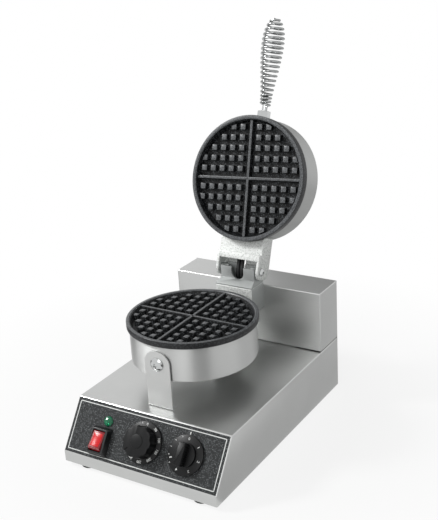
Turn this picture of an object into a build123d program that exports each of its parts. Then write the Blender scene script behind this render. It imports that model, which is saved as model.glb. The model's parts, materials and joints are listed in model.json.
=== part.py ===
from build123d import *
import math
import os

# Round waffle maker on a box base, with its lid standing open.
# Sizes are in millimetres. X runs to the right, Y from front to rear and Z up.
# While the pieces are drawn, the feet stand at Z = 0 and the front of the base is at Y = 0.
# The lid's pieces are drawn closed and then turned open together.

# Base housing
base_width = 250.0
base_depth = 365.0
base_height = 80.0
front_lip_height = 15.2
panel_run = 46.0
sheet = 1.2
fold = 1.6
return_flange = 36.0
rear_flange = 12.0
foot_height = 6.0
foot_radius = 11.0
foot_draft = 10.0
foot_sides = 16
foot_recess = 3.2
foot_inset_x = 32.0
foot_inset_y = 16.0
bottom_sheet = 1.0
vent_length = 44.0
vent_height = 4.0
vent_pitch = 12.0
overlay_thickness = 0.4
overlay_margin = 1.5

# Rear box and the neck that stands on its front
rear_box_depth = 57.7
rear_box_height = 95.0
neck_width = 62.0
neck_length = 36.3
neck_height = 42.0
neck_rise = 5.0
neck_wall = 2.0
neck_fold = 1.2
passage_width = 40.0
passage_height = 24.0

# Lower pan
pan_below_hinge = 18.9
rim_overhang = 3.4
lower_band = 9.0
drum_radius = 90.0
drum_height = 50.6
drum_sheet = 1.0
drum_fold = 3.0

# Cooking face, the same on both plates
rim_width = 5.8
recess_depth = 14.5
recess_draft = 4.4
rim_bevel = 1.2
rim_bevel_width = 1.6
plate_floor = 6.0
divider_top = 4.0
divider_foot = 7.0
divider_drop = 1.2
stud_pitch = 15.5
first_stud = 14.0
studs_per_row = 5
stud_foot = 8.5
stud_top = 6.4
stud_height = 8.0
stud_margin = 5.6
spigot_gap = 0.4

# Lid
plate_gap = 0.5
upper_band = 14.0
lid_over_drum = 2.2
hinge_behind_lid = 43.7
lid_depth = 56.7
lid_round = 5.0
open_angle = 110.0

# What is packed between a plate and the closed end of its drum
tie_circle = 45.0
tie_radius = 2.4
boss_radius = 6.0
boss_length = 7.0
element_half = 50.0
element_width = 8.0
element_bend = 18.0
element_gap = 12.0
terminal_radius = 3.0
terminal_reach = 15.5
clamp_half = 56.0
clamp_sheet = 2.0
insulation_margin = 9.0
insulation_thickness = 14.0
insulation_notch = 46.0
insulation_seat_gap = 0.3

# Hinge
hinge_behind_neck = 23.1
hinge_above_neck = 20.3
hinge_bolt_radius = 2.95
hinge_bore_clearance = 0.05
hinge_side_gap = 0.3
casting_width = 57.0
casting_length = 19.2
casting_wall = 3.0
casting_lip = 2.0
casting_skirt = 8.0
casting_top_above_hinge = 5.7
casting_window_radius = 10.3
casting_window_below_hinge = 13.3
casting_lead_notch = 5.0
casting_boss_radius = 5.5
casting_boss_length = 7.0
cheek_outside = 36.0
cheek_thickness = 4.0
cheek_front = 12.0
cheek_below = 11.5
cheek_above = 23.0
cheek_round = 11.0
web_start = 15.0
web_fold = 25.0
web_recess = 6.3
web_thickness = 4.0
hinge_pad = 3.0
hinge_screw_x = 22.0
hinge_screw_rise = 16.0

# Leads that cross the hinge inside black sleeves
lead_radius = 3.0
lead_hole_clearance = 0.3
lead_spacing = 6.4
lead_x = -2.8
lead_lid_x = -9.0
lead_hinge_gap = 4.5
lead_lid_rise = 16.0
lead_bend = 14.0
conduit_radius = 7.0
conduit_wall = 2.0
conduit_behind_pan = 56.0
conduit_across = 20.0

# Handle, measured along its own axis from the face of its nut
handle_above_hinge = 12.0
handle_nut_across = 17.0
handle_nut_length = 11.0
handle_stud_radius = 4.0
handle_stud_length = 24.0
handle_lock_across = 14.0
wire_radius = 1.9
coil_base_radius = 6.5
coil_belly_radius = 15.5
coil_tip_radius = 5.6
coil_length = 138.0
coil_belly_at = 0.74
coil_run_out = 9.0
coil_foot_back = 4.45
coil_foot_in = 1.9
tight_turns = 3.0
tight_pitch = 5.2
open_turns = 15.0
tip_turns = 1.5
tip_pitch = 5.4

# Front and rear brackets that hold the pan
bracket_width = 40.0
bracket_sheet = 2.0
bracket_below_band = 7.8
bracket_round = 18.0
bracket_fold = 1.2
bracket_foot = 12.4
bracket_screw_inset = 4.6
bracket_seat_gap = 0.3
pan_bolt_above_drum = 24.0
pan_bolt_radius = 3.0
pan_bolt_head_radius = 10.0
pan_bolt_head_rim = 1.4
pan_bolt_head_height = 5.0

# Small screws and nuts
screw_radius = 2.0
screw_head_radius = 4.0
screw_head_height = 2.4
nut_across = 7.0
nut_height = 3.2
hole_clearance = 0.2

# Controls, placed by their distance across the panel and up its slope
rocker_place = (-70.0, 26.0)
rocker_case_width = 32.0
rocker_case_length = 40.0
rocker_case_height = 9.0
rocker_case_draft = 18.4
rocker_case_corner = 2.0
rocker_body_width = 24.0
rocker_body_length = 32.5
rocker_body_depth = 24.0
rocker_width = 18.0
rocker_pivot_height = 3.0
rocker_face_rise = 8.0
rocker_end_radius = 15.1
rocker_tilt = 10.5
rocker_gap = 0.4
rocker_pin_radius = 1.6
rocker_pin_length = 1.5
lamp_place = (-65.2, 55.2)
lamp_radius = 7.5
lamp_height = 4.6
lamp_sides = 10
thermostat_place = (-1.0, 40.3)
thermostat_body_size = 36.0
timer_place = (67.0, 40.0)
timer_body_size = 42.0
control_body_depth = 22.0
shaft_radius = 3.0
shaft_clearance = 0.05
shaft_flat = 1.5
shaft_flat_start = 7.0
shaft_low = -11.0
shaft_high = 13.0
bush_radius = 4.8
bush_nut_across = 14.0
bush_nut_height = 2.4
knob_lift = 1.2
knob_cavity_radius = 9.5
knob_cavity_top = 6.0
skirt_thickness = 2.0
thermostat_skirt_radius = 28.8
thermostat_knob_radius = 21.8
thermostat_knob_height = 20.0
thermostat_scallops = 8
scallop_radius = 10.5
scallop_depth = 2.5
thermostat_cap_radius = 9.5
timer_skirt_radius = 26.8
timer_disc_radius = 16.5
timer_disc_height = 8.0
timer_grip_width = 10.5
timer_grip_height = 19.5
tab_width = 6.4
tab_thickness = 0.8
tab_length = 8.0

# Terminal block on the bottom plate
terminal_block_width = 46.0
terminal_block_depth = 24.0
terminal_block_height = 22.0
terminal_block_step = 13.0

# Cord inlet in the rear cover
gland_x = -85.0
gland_z = 32.0
gland_bore_radius = 4.5
gland_thread_radius = 7.5
gland_across = 20.0
gland_flange = 4.5
gland_length = 9.0
gland_inner_length = 9.0

# Levels and lines worked out from the sizes above
base_bottom = foot_height
lip_top = base_bottom + front_lip_height
base_top = base_bottom + base_height
base_inside = base_width / 2 - sheet
shell_rear = base_depth - sheet
box_front = base_depth - rear_box_depth
box_top = base_top + rear_box_height
neck_top = box_top + neck_rise
neck_bottom = neck_top - neck_height
neck_front = box_front - neck_length
neck_floor = neck_bottom + neck_wall
hinge_y = neck_front + hinge_behind_neck
hinge_height = neck_top + hinge_above_neck
hinge_bore_radius = hinge_bolt_radius + hinge_bore_clearance
lead_hole_radius = lead_radius + lead_hole_clearance
lid_radius = drum_radius + lid_over_drum
rim_radius = drum_radius + rim_overhang
recess_radius = rim_radius - rim_width
stud_reach = recess_radius - stud_margin
insulation_radius = drum_radius - drum_sheet - insulation_margin
pan_y = hinge_y - hinge_behind_lid - lid_radius
pan_height = hinge_height - pan_below_hinge
passage_y = (box_front + shell_rear) / 2
bottom_plate_top = base_bottom + sheet + bottom_sheet
panel_rise = base_height - front_lip_height
panel_length = math.hypot(panel_run, panel_rise)
panel_plane = Plane(
    origin=(0, 0, lip_top),
    x_dir=(1, 0, 0),
    z_dir=(0, -panel_rise, panel_run),
)
drum_top = pan_height - lower_band
drum_bottom = drum_top - drum_height
bracket_top = drum_top - bracket_below_band
pan_bolt_z = drum_bottom + pan_bolt_above_drum
lower_plate_back = pan_height - recess_depth - plate_floor
lid_face = pan_height + plate_gap
lid_shell_bottom = lid_face + upper_band
lid_top = lid_face + lid_depth
upper_plate_back = lid_face + recess_depth + plate_floor
bracket_front = pan_y - drum_radius - bracket_seat_gap - bracket_sheet
casting_top = hinge_height + casting_top_above_hinge
casting_front = hinge_y - casting_length / 2
casting_rear = hinge_y + casting_length / 2
handle_z = hinge_height + handle_above_hinge
handle_face = pan_y - lid_radius - handle_nut_length
conduit_y = pan_y + conduit_behind_pan
long_enough = base_depth + 100

up = (0, 0, 1)
down = (0, 0, -1)
forward = (0, -1, 0)
rearward = (0, 1, 0)


def block(low, high):
    """A block between its lowest and highest corners."""
    size = [top - bottom for bottom, top in zip(low, high)]
    middle = [(top + bottom) / 2 for bottom, top in zip(low, high)]
    return Pos(*middle) * Box(*size)


def rod(start, direction, radius, length):
    """A round bar that starts at a point and runs along a direction."""
    return Plane(origin=start, z_dir=direction) * (Pos(0, 0, length / 2) * Cylinder(radius, length))


def peg(start, direction, radius, length, sides=8):
    """A small bar with a few flat sides, for screws, their holes and hidden pieces."""
    return Plane(origin=start, z_dir=direction) * extrude(RegularPolygon(radius, sides), length)


def hexagon_nut(start, direction, across_flats, length):
    """A hexagonal bar that starts at a point and runs along a direction."""
    outline = RegularPolygon(across_flats / 2, 6, major_radius=False)
    return Plane(origin=start, z_dir=direction) * extrude(outline, length)


def screw(seat, direction, grip):
    """A small screw with its head on a seat and its shank running along a direction."""
    head = peg(seat, [-part for part in direction], screw_head_radius, screw_head_height)
    return head + peg(seat, direction, screw_radius, grip)


def screw_hole(middle, direction, length=10.0):
    """Clearance hole for a small screw, centred on a point."""
    start = Vector(*middle) - Vector(*direction) * (length / 2)
    return peg(start, direction, screw_radius + hole_clearance, length)


# Base housing and what closes it


def panel_holes(clearance):
    """Everything that is cut through the sloped panel and its overlay."""
    holes = Pos(*rocker_place, 0) * Box(
        rocker_body_width + 2 * clearance, rocker_body_length + 2 * clearance, 20
    )
    holes += peg((*lamp_place, -10), up, lamp_radius - 2 + clearance, 20, lamp_sides)
    for place in (thermostat_place, timer_place):
        holes += peg((*place, -10), up, bush_radius + clearance, 20, 12)
    return panel_plane * holes


def foot_places():
    """Centres of the four feet."""
    xs = (-base_width / 2 + foot_inset_x, base_width / 2 - foot_inset_x)
    ys = (foot_inset_y, shell_rear - foot_inset_y)
    return [(x, y) for x in xs for y in ys]


def bracket_screw_places():
    """Screws through the feet of the front and rear brackets."""
    front = bracket_front + bracket_foot - bracket_screw_inset
    rear = 2 * pan_y - front
    return [(x, y) for x in (-bracket_width / 4, bracket_width / 4) for y in (front, rear)]


def rear_box_screw_places():
    """Screws that hold the rear box down on the base."""
    y = box_front + sheet + rear_flange / 2
    return [(side * base_width / 3, y) for side in (-1, 0, 1)]


def cover_screw_places():
    """Screws round the edge of the rear cover, as X and Z."""
    side = base_inside - rear_flange / 2
    heights = (base_bottom + 24, base_top - 14, box_top - 12)
    return [(x, z) for x in (-side, side) for z in heights]


def folded_shell(body, open_below):
    """A folded sheet shell of a closed body, open behind and, if asked, below."""
    folds = [
        edge
        for edge in body.edges()
        if edge.center().Z > open_below + 1 and edge.center().Y < shell_rear - 1
    ]
    body = chamfer(folds, fold)
    openings = [body.faces().sort_by(Axis.Z)[0], body.faces().sort_by(Axis.Y)[-1]]
    return offset(body, amount=-sheet, openings=openings)


def rear_frame(low, high):
    """Inward flange round the open rear of a shell, between two heights."""
    frame = block((-base_inside, shell_rear - sheet, low), (base_inside, shell_rear, high))
    return frame - block(
        (-base_inside + rear_flange, 0, low + rear_flange),
        (base_inside - rear_flange, base_depth, high - rear_flange),
    )


def base_housing():
    """Folded sheet: front lip, sloped panel, top and sides, open below and behind."""
    side_view = Polyline(
        (0, base_bottom),
        (0, lip_top),
        (panel_run, base_top),
        (shell_rear, base_top),
        (shell_rear, base_bottom),
        close=True,
    )
    body = extrude(Plane.YZ * make_face(side_view), base_width / 2, both=True)
    shell = folded_shell(body, base_bottom)
    flange = block((-base_inside, sheet, base_bottom), (base_inside, shell_rear, base_bottom + sheet))
    flange -= block(
        (-base_inside + return_flange, return_flange, 0),
        (base_inside - return_flange, shell_rear - return_flange, base_top),
    )
    shell = shell + flange + rear_frame(base_bottom, base_top - sheet)
    shell -= panel_holes(hole_clearance)
    for x, y in bracket_screw_places() + rear_box_screw_places():
        shell -= screw_hole((x, y, base_top), up)
    for x, y in foot_places():
        shell -= screw_hole((x, y, base_bottom), up)
    for x, z in cover_screw_places():
        shell -= screw_hole((x, shell_rear, z), rearward)
    shell -= peg((0, conduit_y, base_top - 5), up, conduit_radius + hole_clearance, 10, 16)
    shell -= Pos(0, passage_y, base_top) * Box(passage_width, passage_height, 10)
    return shell


def bottom_plate():
    """Plate that rests on the return flange, with rows of cooling slots."""
    side = base_inside - 0.5
    plate = block(
        (-side, sheet + 0.5, base_bottom + sheet),
        (side, shell_rear - sheet - 0.5, bottom_plate_top),
    )
    for x in (-base_width / 6, base_width / 6):
        for row in range(4):
            y = base_depth / 2 + vent_pitch * (row - 1.5)
            plate -= Pos(x, y, base_bottom) * Box(vent_length, vent_height, 10)
    for x, y in foot_places():
        plate -= screw_hole((x, y, base_bottom), up)
    return plate


def feet():
    """Four tapered rubber feet with sunk screw seats."""
    outline = RegularPolygon(foot_radius, foot_sides)
    foot = Plane(origin=(0, 0, foot_height), z_dir=down) * extrude(
        outline, foot_height, taper=foot_draft
    )
    foot -= peg((0, 0, -1), up, screw_head_radius + 1, foot_recess + 1)
    foot -= screw_hole((0, 0, foot_height), up, 2 * foot_height)
    return [Pos(x, y, 0) * foot for x, y in foot_places()]


def foot_screws():
    """Screws and nuts that hold the feet, the flange and the bottom plate together."""
    grip = bottom_plate_top - foot_recess + nut_height + 2
    bolt = screw((0, 0, foot_recess), up, grip)
    bolt += hexagon_nut((0, 0, bottom_plate_top), up, nut_across, nut_height)
    return [Pos(x, y, 0) * bolt for x, y in foot_places()]


def control_overlay():
    """Thin printed sheet over the sloped panel."""
    width = base_width - 2 * overlay_margin
    height = panel_length - 2 * overlay_margin
    film = Pos(0, panel_length / 2, 0) * extrude(Rectangle(width, height), overlay_thickness)
    return panel_plane * film - panel_holes(hole_clearance)


def rear_box():
    """Box across the rear of the base, open below and behind."""
    body = block((-base_width / 2, box_front, base_top), (base_width / 2, shell_rear, box_top))
    shell = folded_shell(body, base_top)
    flange = block(
        (-base_inside, box_front + sheet, base_top),
        (base_inside, box_front + sheet + rear_flange, base_top + sheet),
    )
    shell = shell + flange + rear_frame(base_top, box_top - sheet)
    shell -= neck_passage()
    for x, y in rear_box_screw_places():
        shell -= screw_hole((x, y, base_top), up)
    for x, z in neck_screw_places():
        shell -= screw_hole((x, box_front, z), rearward)
    for x, z in cover_screw_places():
        shell -= screw_hole((x, shell_rear, z), rearward)
    return shell


def rear_box_screws():
    """Screws through the rear box's floor flange into the base top."""
    return [screw((x, y, base_top + sheet), down, 7) for x, y in rear_box_screw_places()]


def rear_cover():
    """Flat plate over the whole rear, with blocks of cooling slots and the cord inlet."""
    side = base_width / 2
    cover = block((-side, shell_rear, base_bottom), (side, base_depth, box_top))
    for x in (-base_width / 5, 0, base_width / 5):
        for row in range(4):
            z = base_top + rear_box_height / 2 + vent_pitch * (row - 1.5)
            cover -= Pos(x, base_depth, z) * Box(vent_length - 6, 10, vent_height)
    cover -= peg((gland_x, shell_rear - 5, gland_z), rearward, gland_thread_radius + hole_clearance, 10, 12)
    for x, z in cover_screw_places():
        cover -= screw_hole((x, shell_rear, z), rearward)
    return cover


def cover_screws():
    """Screws round the rear cover."""
    return [screw((x, base_depth, z), forward, 7) for x, z in cover_screw_places()]


def cord_gland():
    """Hollow threaded gland that the mains cord enters through."""
    gland = hexagon_nut((gland_x, base_depth, gland_z), rearward, gland_across, gland_flange)
    start = (gland_x, shell_rear - gland_inner_length, gland_z)
    reach = gland_inner_length + sheet + gland_length
    gland += peg(start, rearward, gland_thread_radius, reach, 12)
    return gland - rod((gland_x, 0, gland_z), rearward, gland_bore_radius, long_enough)


def gland_nut():
    """Lock nut that clamps the gland from inside the rear cover."""
    nut = hexagon_nut((gland_x, shell_rear, gland_z), forward, gland_across, 4.0)
    return nut - peg((gland_x, 0, gland_z), rearward, gland_thread_radius + 0.05, long_enough, 12)


# Neck and lower hinge


def neck_passage():
    """Way for the leads between the neck and the rear box."""
    return Pos(0, box_front, neck_floor + passage_height / 2) * Box(passage_width, 12, passage_height)


def neck_screw_places():
    """Screws that hold the neck against the rear box, as X and Z."""
    return [(side * (passage_width / 2 + 4), neck_bottom + 14) for side in (-1, 1)]


def neck():
    """Folded box that carries the hinge in front of the rear box."""
    half = neck_width / 2
    outer = block((-half, neck_front, neck_bottom), (half, box_front, neck_top))
    outer = chamfer([edge for edge in outer.edges() if edge.center().Y < neck_front + 1], neck_fold)
    inner = block(
        (-half + neck_wall, neck_front + neck_wall, neck_floor),
        (half - neck_wall, box_front - neck_wall, neck_top - neck_wall),
    )
    shell = outer - inner - neck_passage()
    shell -= Pos(0, hinge_y, neck_top) * Box(casting_width - 14, casting_length - 8, 12)
    for x, z in neck_screw_places():
        shell -= screw_hole((x, box_front, z), rearward)
    return shell


def neck_screws():
    """Screws that clamp the neck to the front of the rear box, with their nuts."""
    screws = []
    for x, z in neck_screw_places():
        bolt = screw((x, box_front - neck_wall, z), rearward, neck_wall + sheet + 5)
        bolt += hexagon_nut((x, box_front + sheet, z), rearward, nut_across, nut_height)
        screws.append(bolt)
    return screws


def lower_hinge():
    """Cast hinge block: flared foot, hollow body with a round-bottomed window, and bosses."""
    half = casting_width / 2
    foot_half = neck_width / 2
    foot_front = neck_front + 0.5
    foot_rear = box_front - 0.5
    foot_top = neck_top + casting_lip
    flare_top = neck_top + casting_skirt
    foot = block((-foot_half, foot_front, neck_top), (foot_half, foot_rear, foot_top))
    foot_middle = (foot_rear + foot_front) / 2
    foot_outline = Pos(0, foot_middle, foot_top) * Rectangle(neck_width, foot_rear - foot_front)
    body_outline = Pos(0, hinge_y, flare_top) * Rectangle(casting_width, casting_length)
    flare = loft([foot_outline, body_outline], ruled=True)
    body = block((-half, casting_front, flare_top), (half, casting_rear, casting_top))
    casting = foot + flare + body
    inside = half - casting_wall
    casting -= block(
        (-inside, casting_front + casting_wall, neck_top - 1),
        (inside, casting_rear - casting_wall, casting_top + 1),
    )
    window_z = hinge_height - casting_window_below_hinge + casting_window_radius
    casting -= rod((0, casting_front - 8, window_z), rearward, casting_window_radius, 14)
    casting -= block(
        (-casting_window_radius, casting_front - 8, window_z),
        (casting_window_radius, casting_front + 6, casting_top + 1),
    )
    notch_half = lead_spacing / 2 + lead_radius + 1.2
    casting -= block(
        (lead_x - notch_half, casting_rear - casting_wall - 1, hinge_height - casting_lead_notch),
        (lead_x + notch_half, casting_rear + 1, casting_top + 1),
    )
    for side in (-1, 1):
        boss_start = (side * (inside + 0.5), hinge_y, hinge_height)
        casting += peg(boss_start, (-side, 0, 0), casting_boss_radius, casting_boss_length, 12)
    return casting - rod((-half - 1, hinge_y, hinge_height), (1, 0, 0), hinge_bore_radius, 2 * half + 2)


def hinge_bolts():
    """Two bolts on the hinge axis, screwed into the lower hinge from outside."""
    bolts = []
    end = casting_width / 2 - casting_wall - casting_boss_length + 1
    seat = cheek_outside + hinge_side_gap
    for side in (-1, 1):
        way = (side, 0, 0)
        bolt = rod((side * end, hinge_y, hinge_height), way, hinge_bolt_radius, seat - end + 1)
        head = extrude(RegularPolygon(6.0, 16), 3.6, taper=24)
        bolts.append(bolt + Plane(origin=(side * seat, hinge_y, hinge_height), z_dir=way) * head)
    return bolts


def hinge_washers():
    """Spacers between the lower hinge and the lid's cheeks."""
    start = casting_width / 2
    length = cheek_outside - cheek_thickness - hinge_side_gap - start
    washers = []
    for side in (-1, 1):
        origin = (side * start, hinge_y, hinge_height)
        washer = peg(origin, (side, 0, 0), 6.5, length, 16)
        washers.append(washer - peg(origin, (side, 0, 0), hinge_bolt_radius + hole_clearance, length, 16))
    return washers


# Cooking plates and their drums


def ring_of_places(radius, count, first_angle=0.0):
    """Points evenly spaced round a circle."""
    angles = [math.radians(first_angle + 360 * i / count) for i in range(count)]
    return [(radius * math.cos(a), radius * math.sin(a)) for a in angles]


def tie_places():
    """Where the four tie screws stand, about the pan's axis."""
    return ring_of_places(tie_circle, 4, 45)


def stud():
    """One tapered stud standing on the floor of the cooking face."""
    draft = math.degrees(math.atan((stud_foot - stud_top) / 2 / stud_height))
    return extrude(Rectangle(stud_foot, stud_foot), stud_height, taper=draft)


def dividers():
    """The two crossing bars that part the waffle into quarters."""
    height = recess_depth - divider_drop
    section = make_face(
        Polyline(
            (-divider_foot / 2, 0),
            (divider_foot / 2, 0),
            (divider_top / 2, height),
            (-divider_top / 2, height),
            close=True,
        )
    )
    bar = extrude(Plane.YZ * section, recess_radius + 0.4, both=True)
    return [Pos(0, 0, -recess_depth) * bar, Pos(0, 0, -recess_depth) * (Rot(0, 0, 90) * bar)]


def cooking_plate(band_height, spigot_radius):
    """A cast plate with its cooking face up at Z = 0: rim, recess, cross dividers and studs."""
    back = recess_depth + plate_floor
    outline = make_face(
        Polyline(
            (0, -back),
            (spigot_radius, -back),
            (spigot_radius, -band_height),
            (rim_radius, -band_height),
            (rim_radius, 0),
            (recess_radius + rim_bevel_width, 0),
            (recess_radius, -rim_bevel),
            (recess_radius - recess_draft, -recess_depth),
            (0, -recess_depth),
            close=True,
        )
    )
    body = revolve(Plane.XZ * outline, Axis.Z)
    raised = dividers()
    steps = [first_stud + stud_pitch * i for i in range(studs_per_row)]
    for across in steps:
        for along in steps:
            if math.hypot(across, along) <= stud_reach:
                for x in (-across, across):
                    for y in (-along, along):
                        raised.append(Pos(x, y, -recess_depth) * stud())
    bosses = [peg((x, y, -back), down, boss_radius, boss_length) for x, y in tie_places()]
    body = body.fuse(*raised, *bosses)
    for x, y in tie_places():
        body -= peg((x, y, -back - boss_length - 1), up, tie_radius + 0.1, boss_length + 4)
    return body


def lower_plate():
    """The plate that the batter is poured on."""
    return Pos(0, pan_y, pan_height) * cooking_plate(lower_band, drum_radius - drum_sheet - spigot_gap)


def upper_plate():
    """The plate in the lid, face down when the lid is closed."""
    plate = cooking_plate(upper_band, lid_radius - drum_sheet - spigot_gap)
    return Pos(0, pan_y, lid_face) * (Rot(180, 0, 0) * plate)


def drum(outer_corner, radius, height, inner_chamfer):
    """A spun cup that stands on its closed end, from the points of its outer corner."""
    inside = radius - drum_sheet
    outline = Polyline(
        (0, 0),
        *outer_corner,
        (radius, height),
        (inside, height),
        (inside, drum_sheet + inner_chamfer),
        (inside - inner_chamfer, drum_sheet),
        (0, drum_sheet),
        close=True,
    )
    return revolve(Plane.XZ * make_face(outline), Axis.Z)


def tie_holes(z):
    """Clearance holes for the tie screws in the closed end of a drum."""
    holes = [peg((x, pan_y + y, z - 5), up, tie_radius + hole_clearance, 10) for x, y in tie_places()]
    return holes[0] + holes[1] + holes[2] + holes[3]


def lower_drum():
    """Steel drum under the lower plate."""
    corner = [(drum_radius - drum_fold, 0), (drum_radius, drum_fold)]
    cup = Pos(0, pan_y, drum_bottom) * drum(corner, drum_radius, drum_height, drum_fold - drum_sheet / 2)
    cup -= tie_holes(drum_bottom)
    bolt_start = (0, bracket_front - 5, pan_bolt_z)
    cup -= peg(bolt_start, rearward, pan_bolt_radius + hole_clearance, 2 * drum_radius + 20)
    cup -= peg((0, conduit_y, drum_bottom - 5), up, conduit_radius + hole_clearance, 10, 16)
    return cup


def upper_drum():
    """Steel drum on the back of the lid."""
    height = lid_depth - upper_band
    corner = [
        (lid_radius - lid_round, 0),
        (lid_radius - 0.3 * lid_round, 0.3 * lid_round),
        (lid_radius, lid_round),
    ]
    cup = drum(corner, lid_radius, height, lid_round - drum_sheet)
    cup = Pos(0, pan_y, lid_top) * (Rot(180, 0, 0) * cup)
    cup -= tie_holes(lid_top)
    cup -= peg((0, pan_y, handle_z), forward, handle_stud_radius + hole_clearance, lid_radius + 5)
    for x in lead_places:
        cup -= lead_hole(x)
    for x, z in hinge_screw_places():
        cup -= screw_hole((x, pan_y + lid_radius, z), rearward, 30)
    return cup


def heating_element(plate_back, toward):
    """Flattened tube heater, bent to a square with a gap at the rear, and its two terminals."""
    half = element_half
    loop = FilletPolyline(
        (element_gap, half),
        (half, half),
        (half, -half),
        (-half, -half),
        (-half, half),
        (-element_gap, half),
        radius=element_bend,
    )
    end = Plane(loop @ 0, x_dir=(0, 0, 1), z_dir=loop % 0)
    flat = sweep(end * Rectangle(boss_length, element_width), path=loop)
    for side in (-1, 1):
        start = (side * (element_gap + 4), half, 0)
        flat += peg(start, (0, 0, toward), terminal_radius, terminal_reach)
    return Pos(0, pan_y, plate_back + toward * boss_length / 2) * flat


def terminal_notch(z):
    """Room for the heater's terminals and for the leads at the rear of a drum."""
    return Pos(0, insulation_radius, z) * Box(insulation_notch, 2 * (insulation_radius - 42), 60)


def element_clamp(plate_back, toward):
    """Square plate that the tie screws press against the heater."""
    plate = Box(2 * clamp_half, 2 * clamp_half, clamp_sheet)
    plate = chamfer(plate.edges().filter_by(Axis.Z), element_bend / 2)
    plate -= terminal_notch(0)
    plate = Pos(0, pan_y, plate_back + toward * (boss_length + clamp_sheet / 2)) * plate
    return plate - tie_holes(plate_back + toward * boss_length)


def insulation(plate_back, toward):
    """Board of heat insulation between the clamp and the closed end of the drum."""
    board = extrude(RegularPolygon(insulation_radius, 16), insulation_thickness / 2, both=True)
    board -= terminal_notch(0)
    middle = plate_back + toward * (
        boss_length + clamp_sheet + insulation_seat_gap + insulation_thickness / 2
    )
    board = Pos(0, pan_y, middle) * board
    for x, y in tie_places():
        board -= peg((x, pan_y + y, middle - 20), up, tie_radius + hole_clearance, 40)
    return board


def tie_screws(seat, plate_back, toward):
    """Long screws from the closed end of a drum into the bosses of its plate."""
    length = abs(plate_back - seat) - boss_length + 6
    head = extrude(RegularPolygon(5.0, 12), 2.6, taper=24)
    head = Plane(origin=(0, 0, seat), z_dir=(0, 0, -toward)) * head
    long_screw = head + peg((0, 0, seat), (0, 0, toward), tie_radius, length)
    return [Pos(x, pan_y + y, 0) * long_screw for x, y in tie_places()]


def lead_conduit():
    """Threaded pipe that takes the leads from the base up into the lower drum, with lock nuts."""
    low = base_top - sheet - 8
    high = drum_bottom + drum_sheet + 8
    pipe = peg((0, conduit_y, low), up, conduit_radius, high - low, 16)
    seats = (
        (base_top - sheet, down),
        (base_top, up),
        (drum_bottom, down),
        (drum_bottom + drum_sheet, up),
    )
    for z, way in seats:
        pipe += hexagon_nut((0, conduit_y, z), way, conduit_across, 3.5)
    return pipe - peg((0, conduit_y, low - 1), up, conduit_radius - conduit_wall, high - low + 2, 16)


def front_bracket():
    """Upright strip with a rounded top that holds the pan at the front."""
    half = bracket_width / 2
    front = bracket_front
    upright = block((-half, front, base_top), (half, front + bracket_sheet, bracket_top))
    top_corners = upright.edges().filter_by(Axis.Y).sort_by(Axis.Z)[-2:]
    upright = fillet(top_corners, bracket_round)
    foot = block((-half, front, base_top), (half, front + bracket_foot, base_top + bracket_sheet))
    bracket = upright + foot
    bend = bracket.edges().filter_by(Axis.X).sort_by(lambda edge: edge.center().Y + edge.center().Z)[0]
    bracket = chamfer(bend, bracket_fold)
    bracket -= peg((0, front - 5, pan_bolt_z), rearward, pan_bolt_radius + hole_clearance, 12)
    for x, y in bracket_screw_places():
        bracket -= screw_hole((x, y, base_top), up)
    return bracket


def rear_bracket():
    """The same strip, turned round behind the pan."""
    return mirror(front_bracket(), about=Plane.XZ.offset(-pan_y))


def bracket_screws():
    """Screws and nuts through the feet of both brackets."""
    screws = []
    for x, y in bracket_screw_places():
        bolt = screw((x, y, base_top + bracket_sheet), down, bracket_sheet + sheet + nut_height + 2)
        bolt += hexagon_nut((x, y, base_top - sheet), down, nut_across, nut_height)
        screws.append(bolt)
    return screws


def pan_bolts():
    """Dome-headed bolts through the brackets into the drum, with nuts inside."""
    wall = bracket_sheet + bracket_seat_gap + drum_sheet
    outline = RegularPolygon(pan_bolt_head_radius, 16)
    crown = extrude(outline, pan_bolt_head_height - pan_bolt_head_rim, taper=45)
    bolt = extrude(outline, pan_bolt_head_rim) + Pos(0, 0, pan_bolt_head_rim) * crown
    bolt += peg((0, 0, 0), down, pan_bolt_radius, wall + 7)
    bolt += hexagon_nut((0, 0, -wall - 0.3), down, 10.0, 5.0)
    front = Plane(origin=(0, bracket_front, pan_bolt_z), z_dir=forward) * bolt
    rear = Plane(origin=(0, 2 * pan_y - bracket_front, pan_bolt_z), z_dir=rearward) * bolt
    return [front, rear]


# Lid hinge, leads and handle

lead_places = (lead_x - lead_spacing / 2, lead_x + lead_spacing / 2)


def lid_lead_line(x):
    """Start and direction of a lead where it runs from the hinge into the lid."""
    start = (x, hinge_y - lead_hinge_gap, hinge_height + 3.5)
    end = (x + lead_lid_x - lead_x, pan_y + lid_radius - 2, hinge_height + lead_lid_rise)
    return start, Vector(*end) - Vector(*start)


def lead_hole(x):
    """Room for one lead through the lid hinge and the wall of the drum."""
    start, way = lid_lead_line(x)
    return peg(start, way, lead_hole_radius, way.length + 12)


def hinge_screw_places():
    """Screws that hold the lid hinge to the drum, as X and Z."""
    return [(x, hinge_height + hinge_screw_rise) for x in (-hinge_screw_x, hinge_screw_x)]


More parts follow.
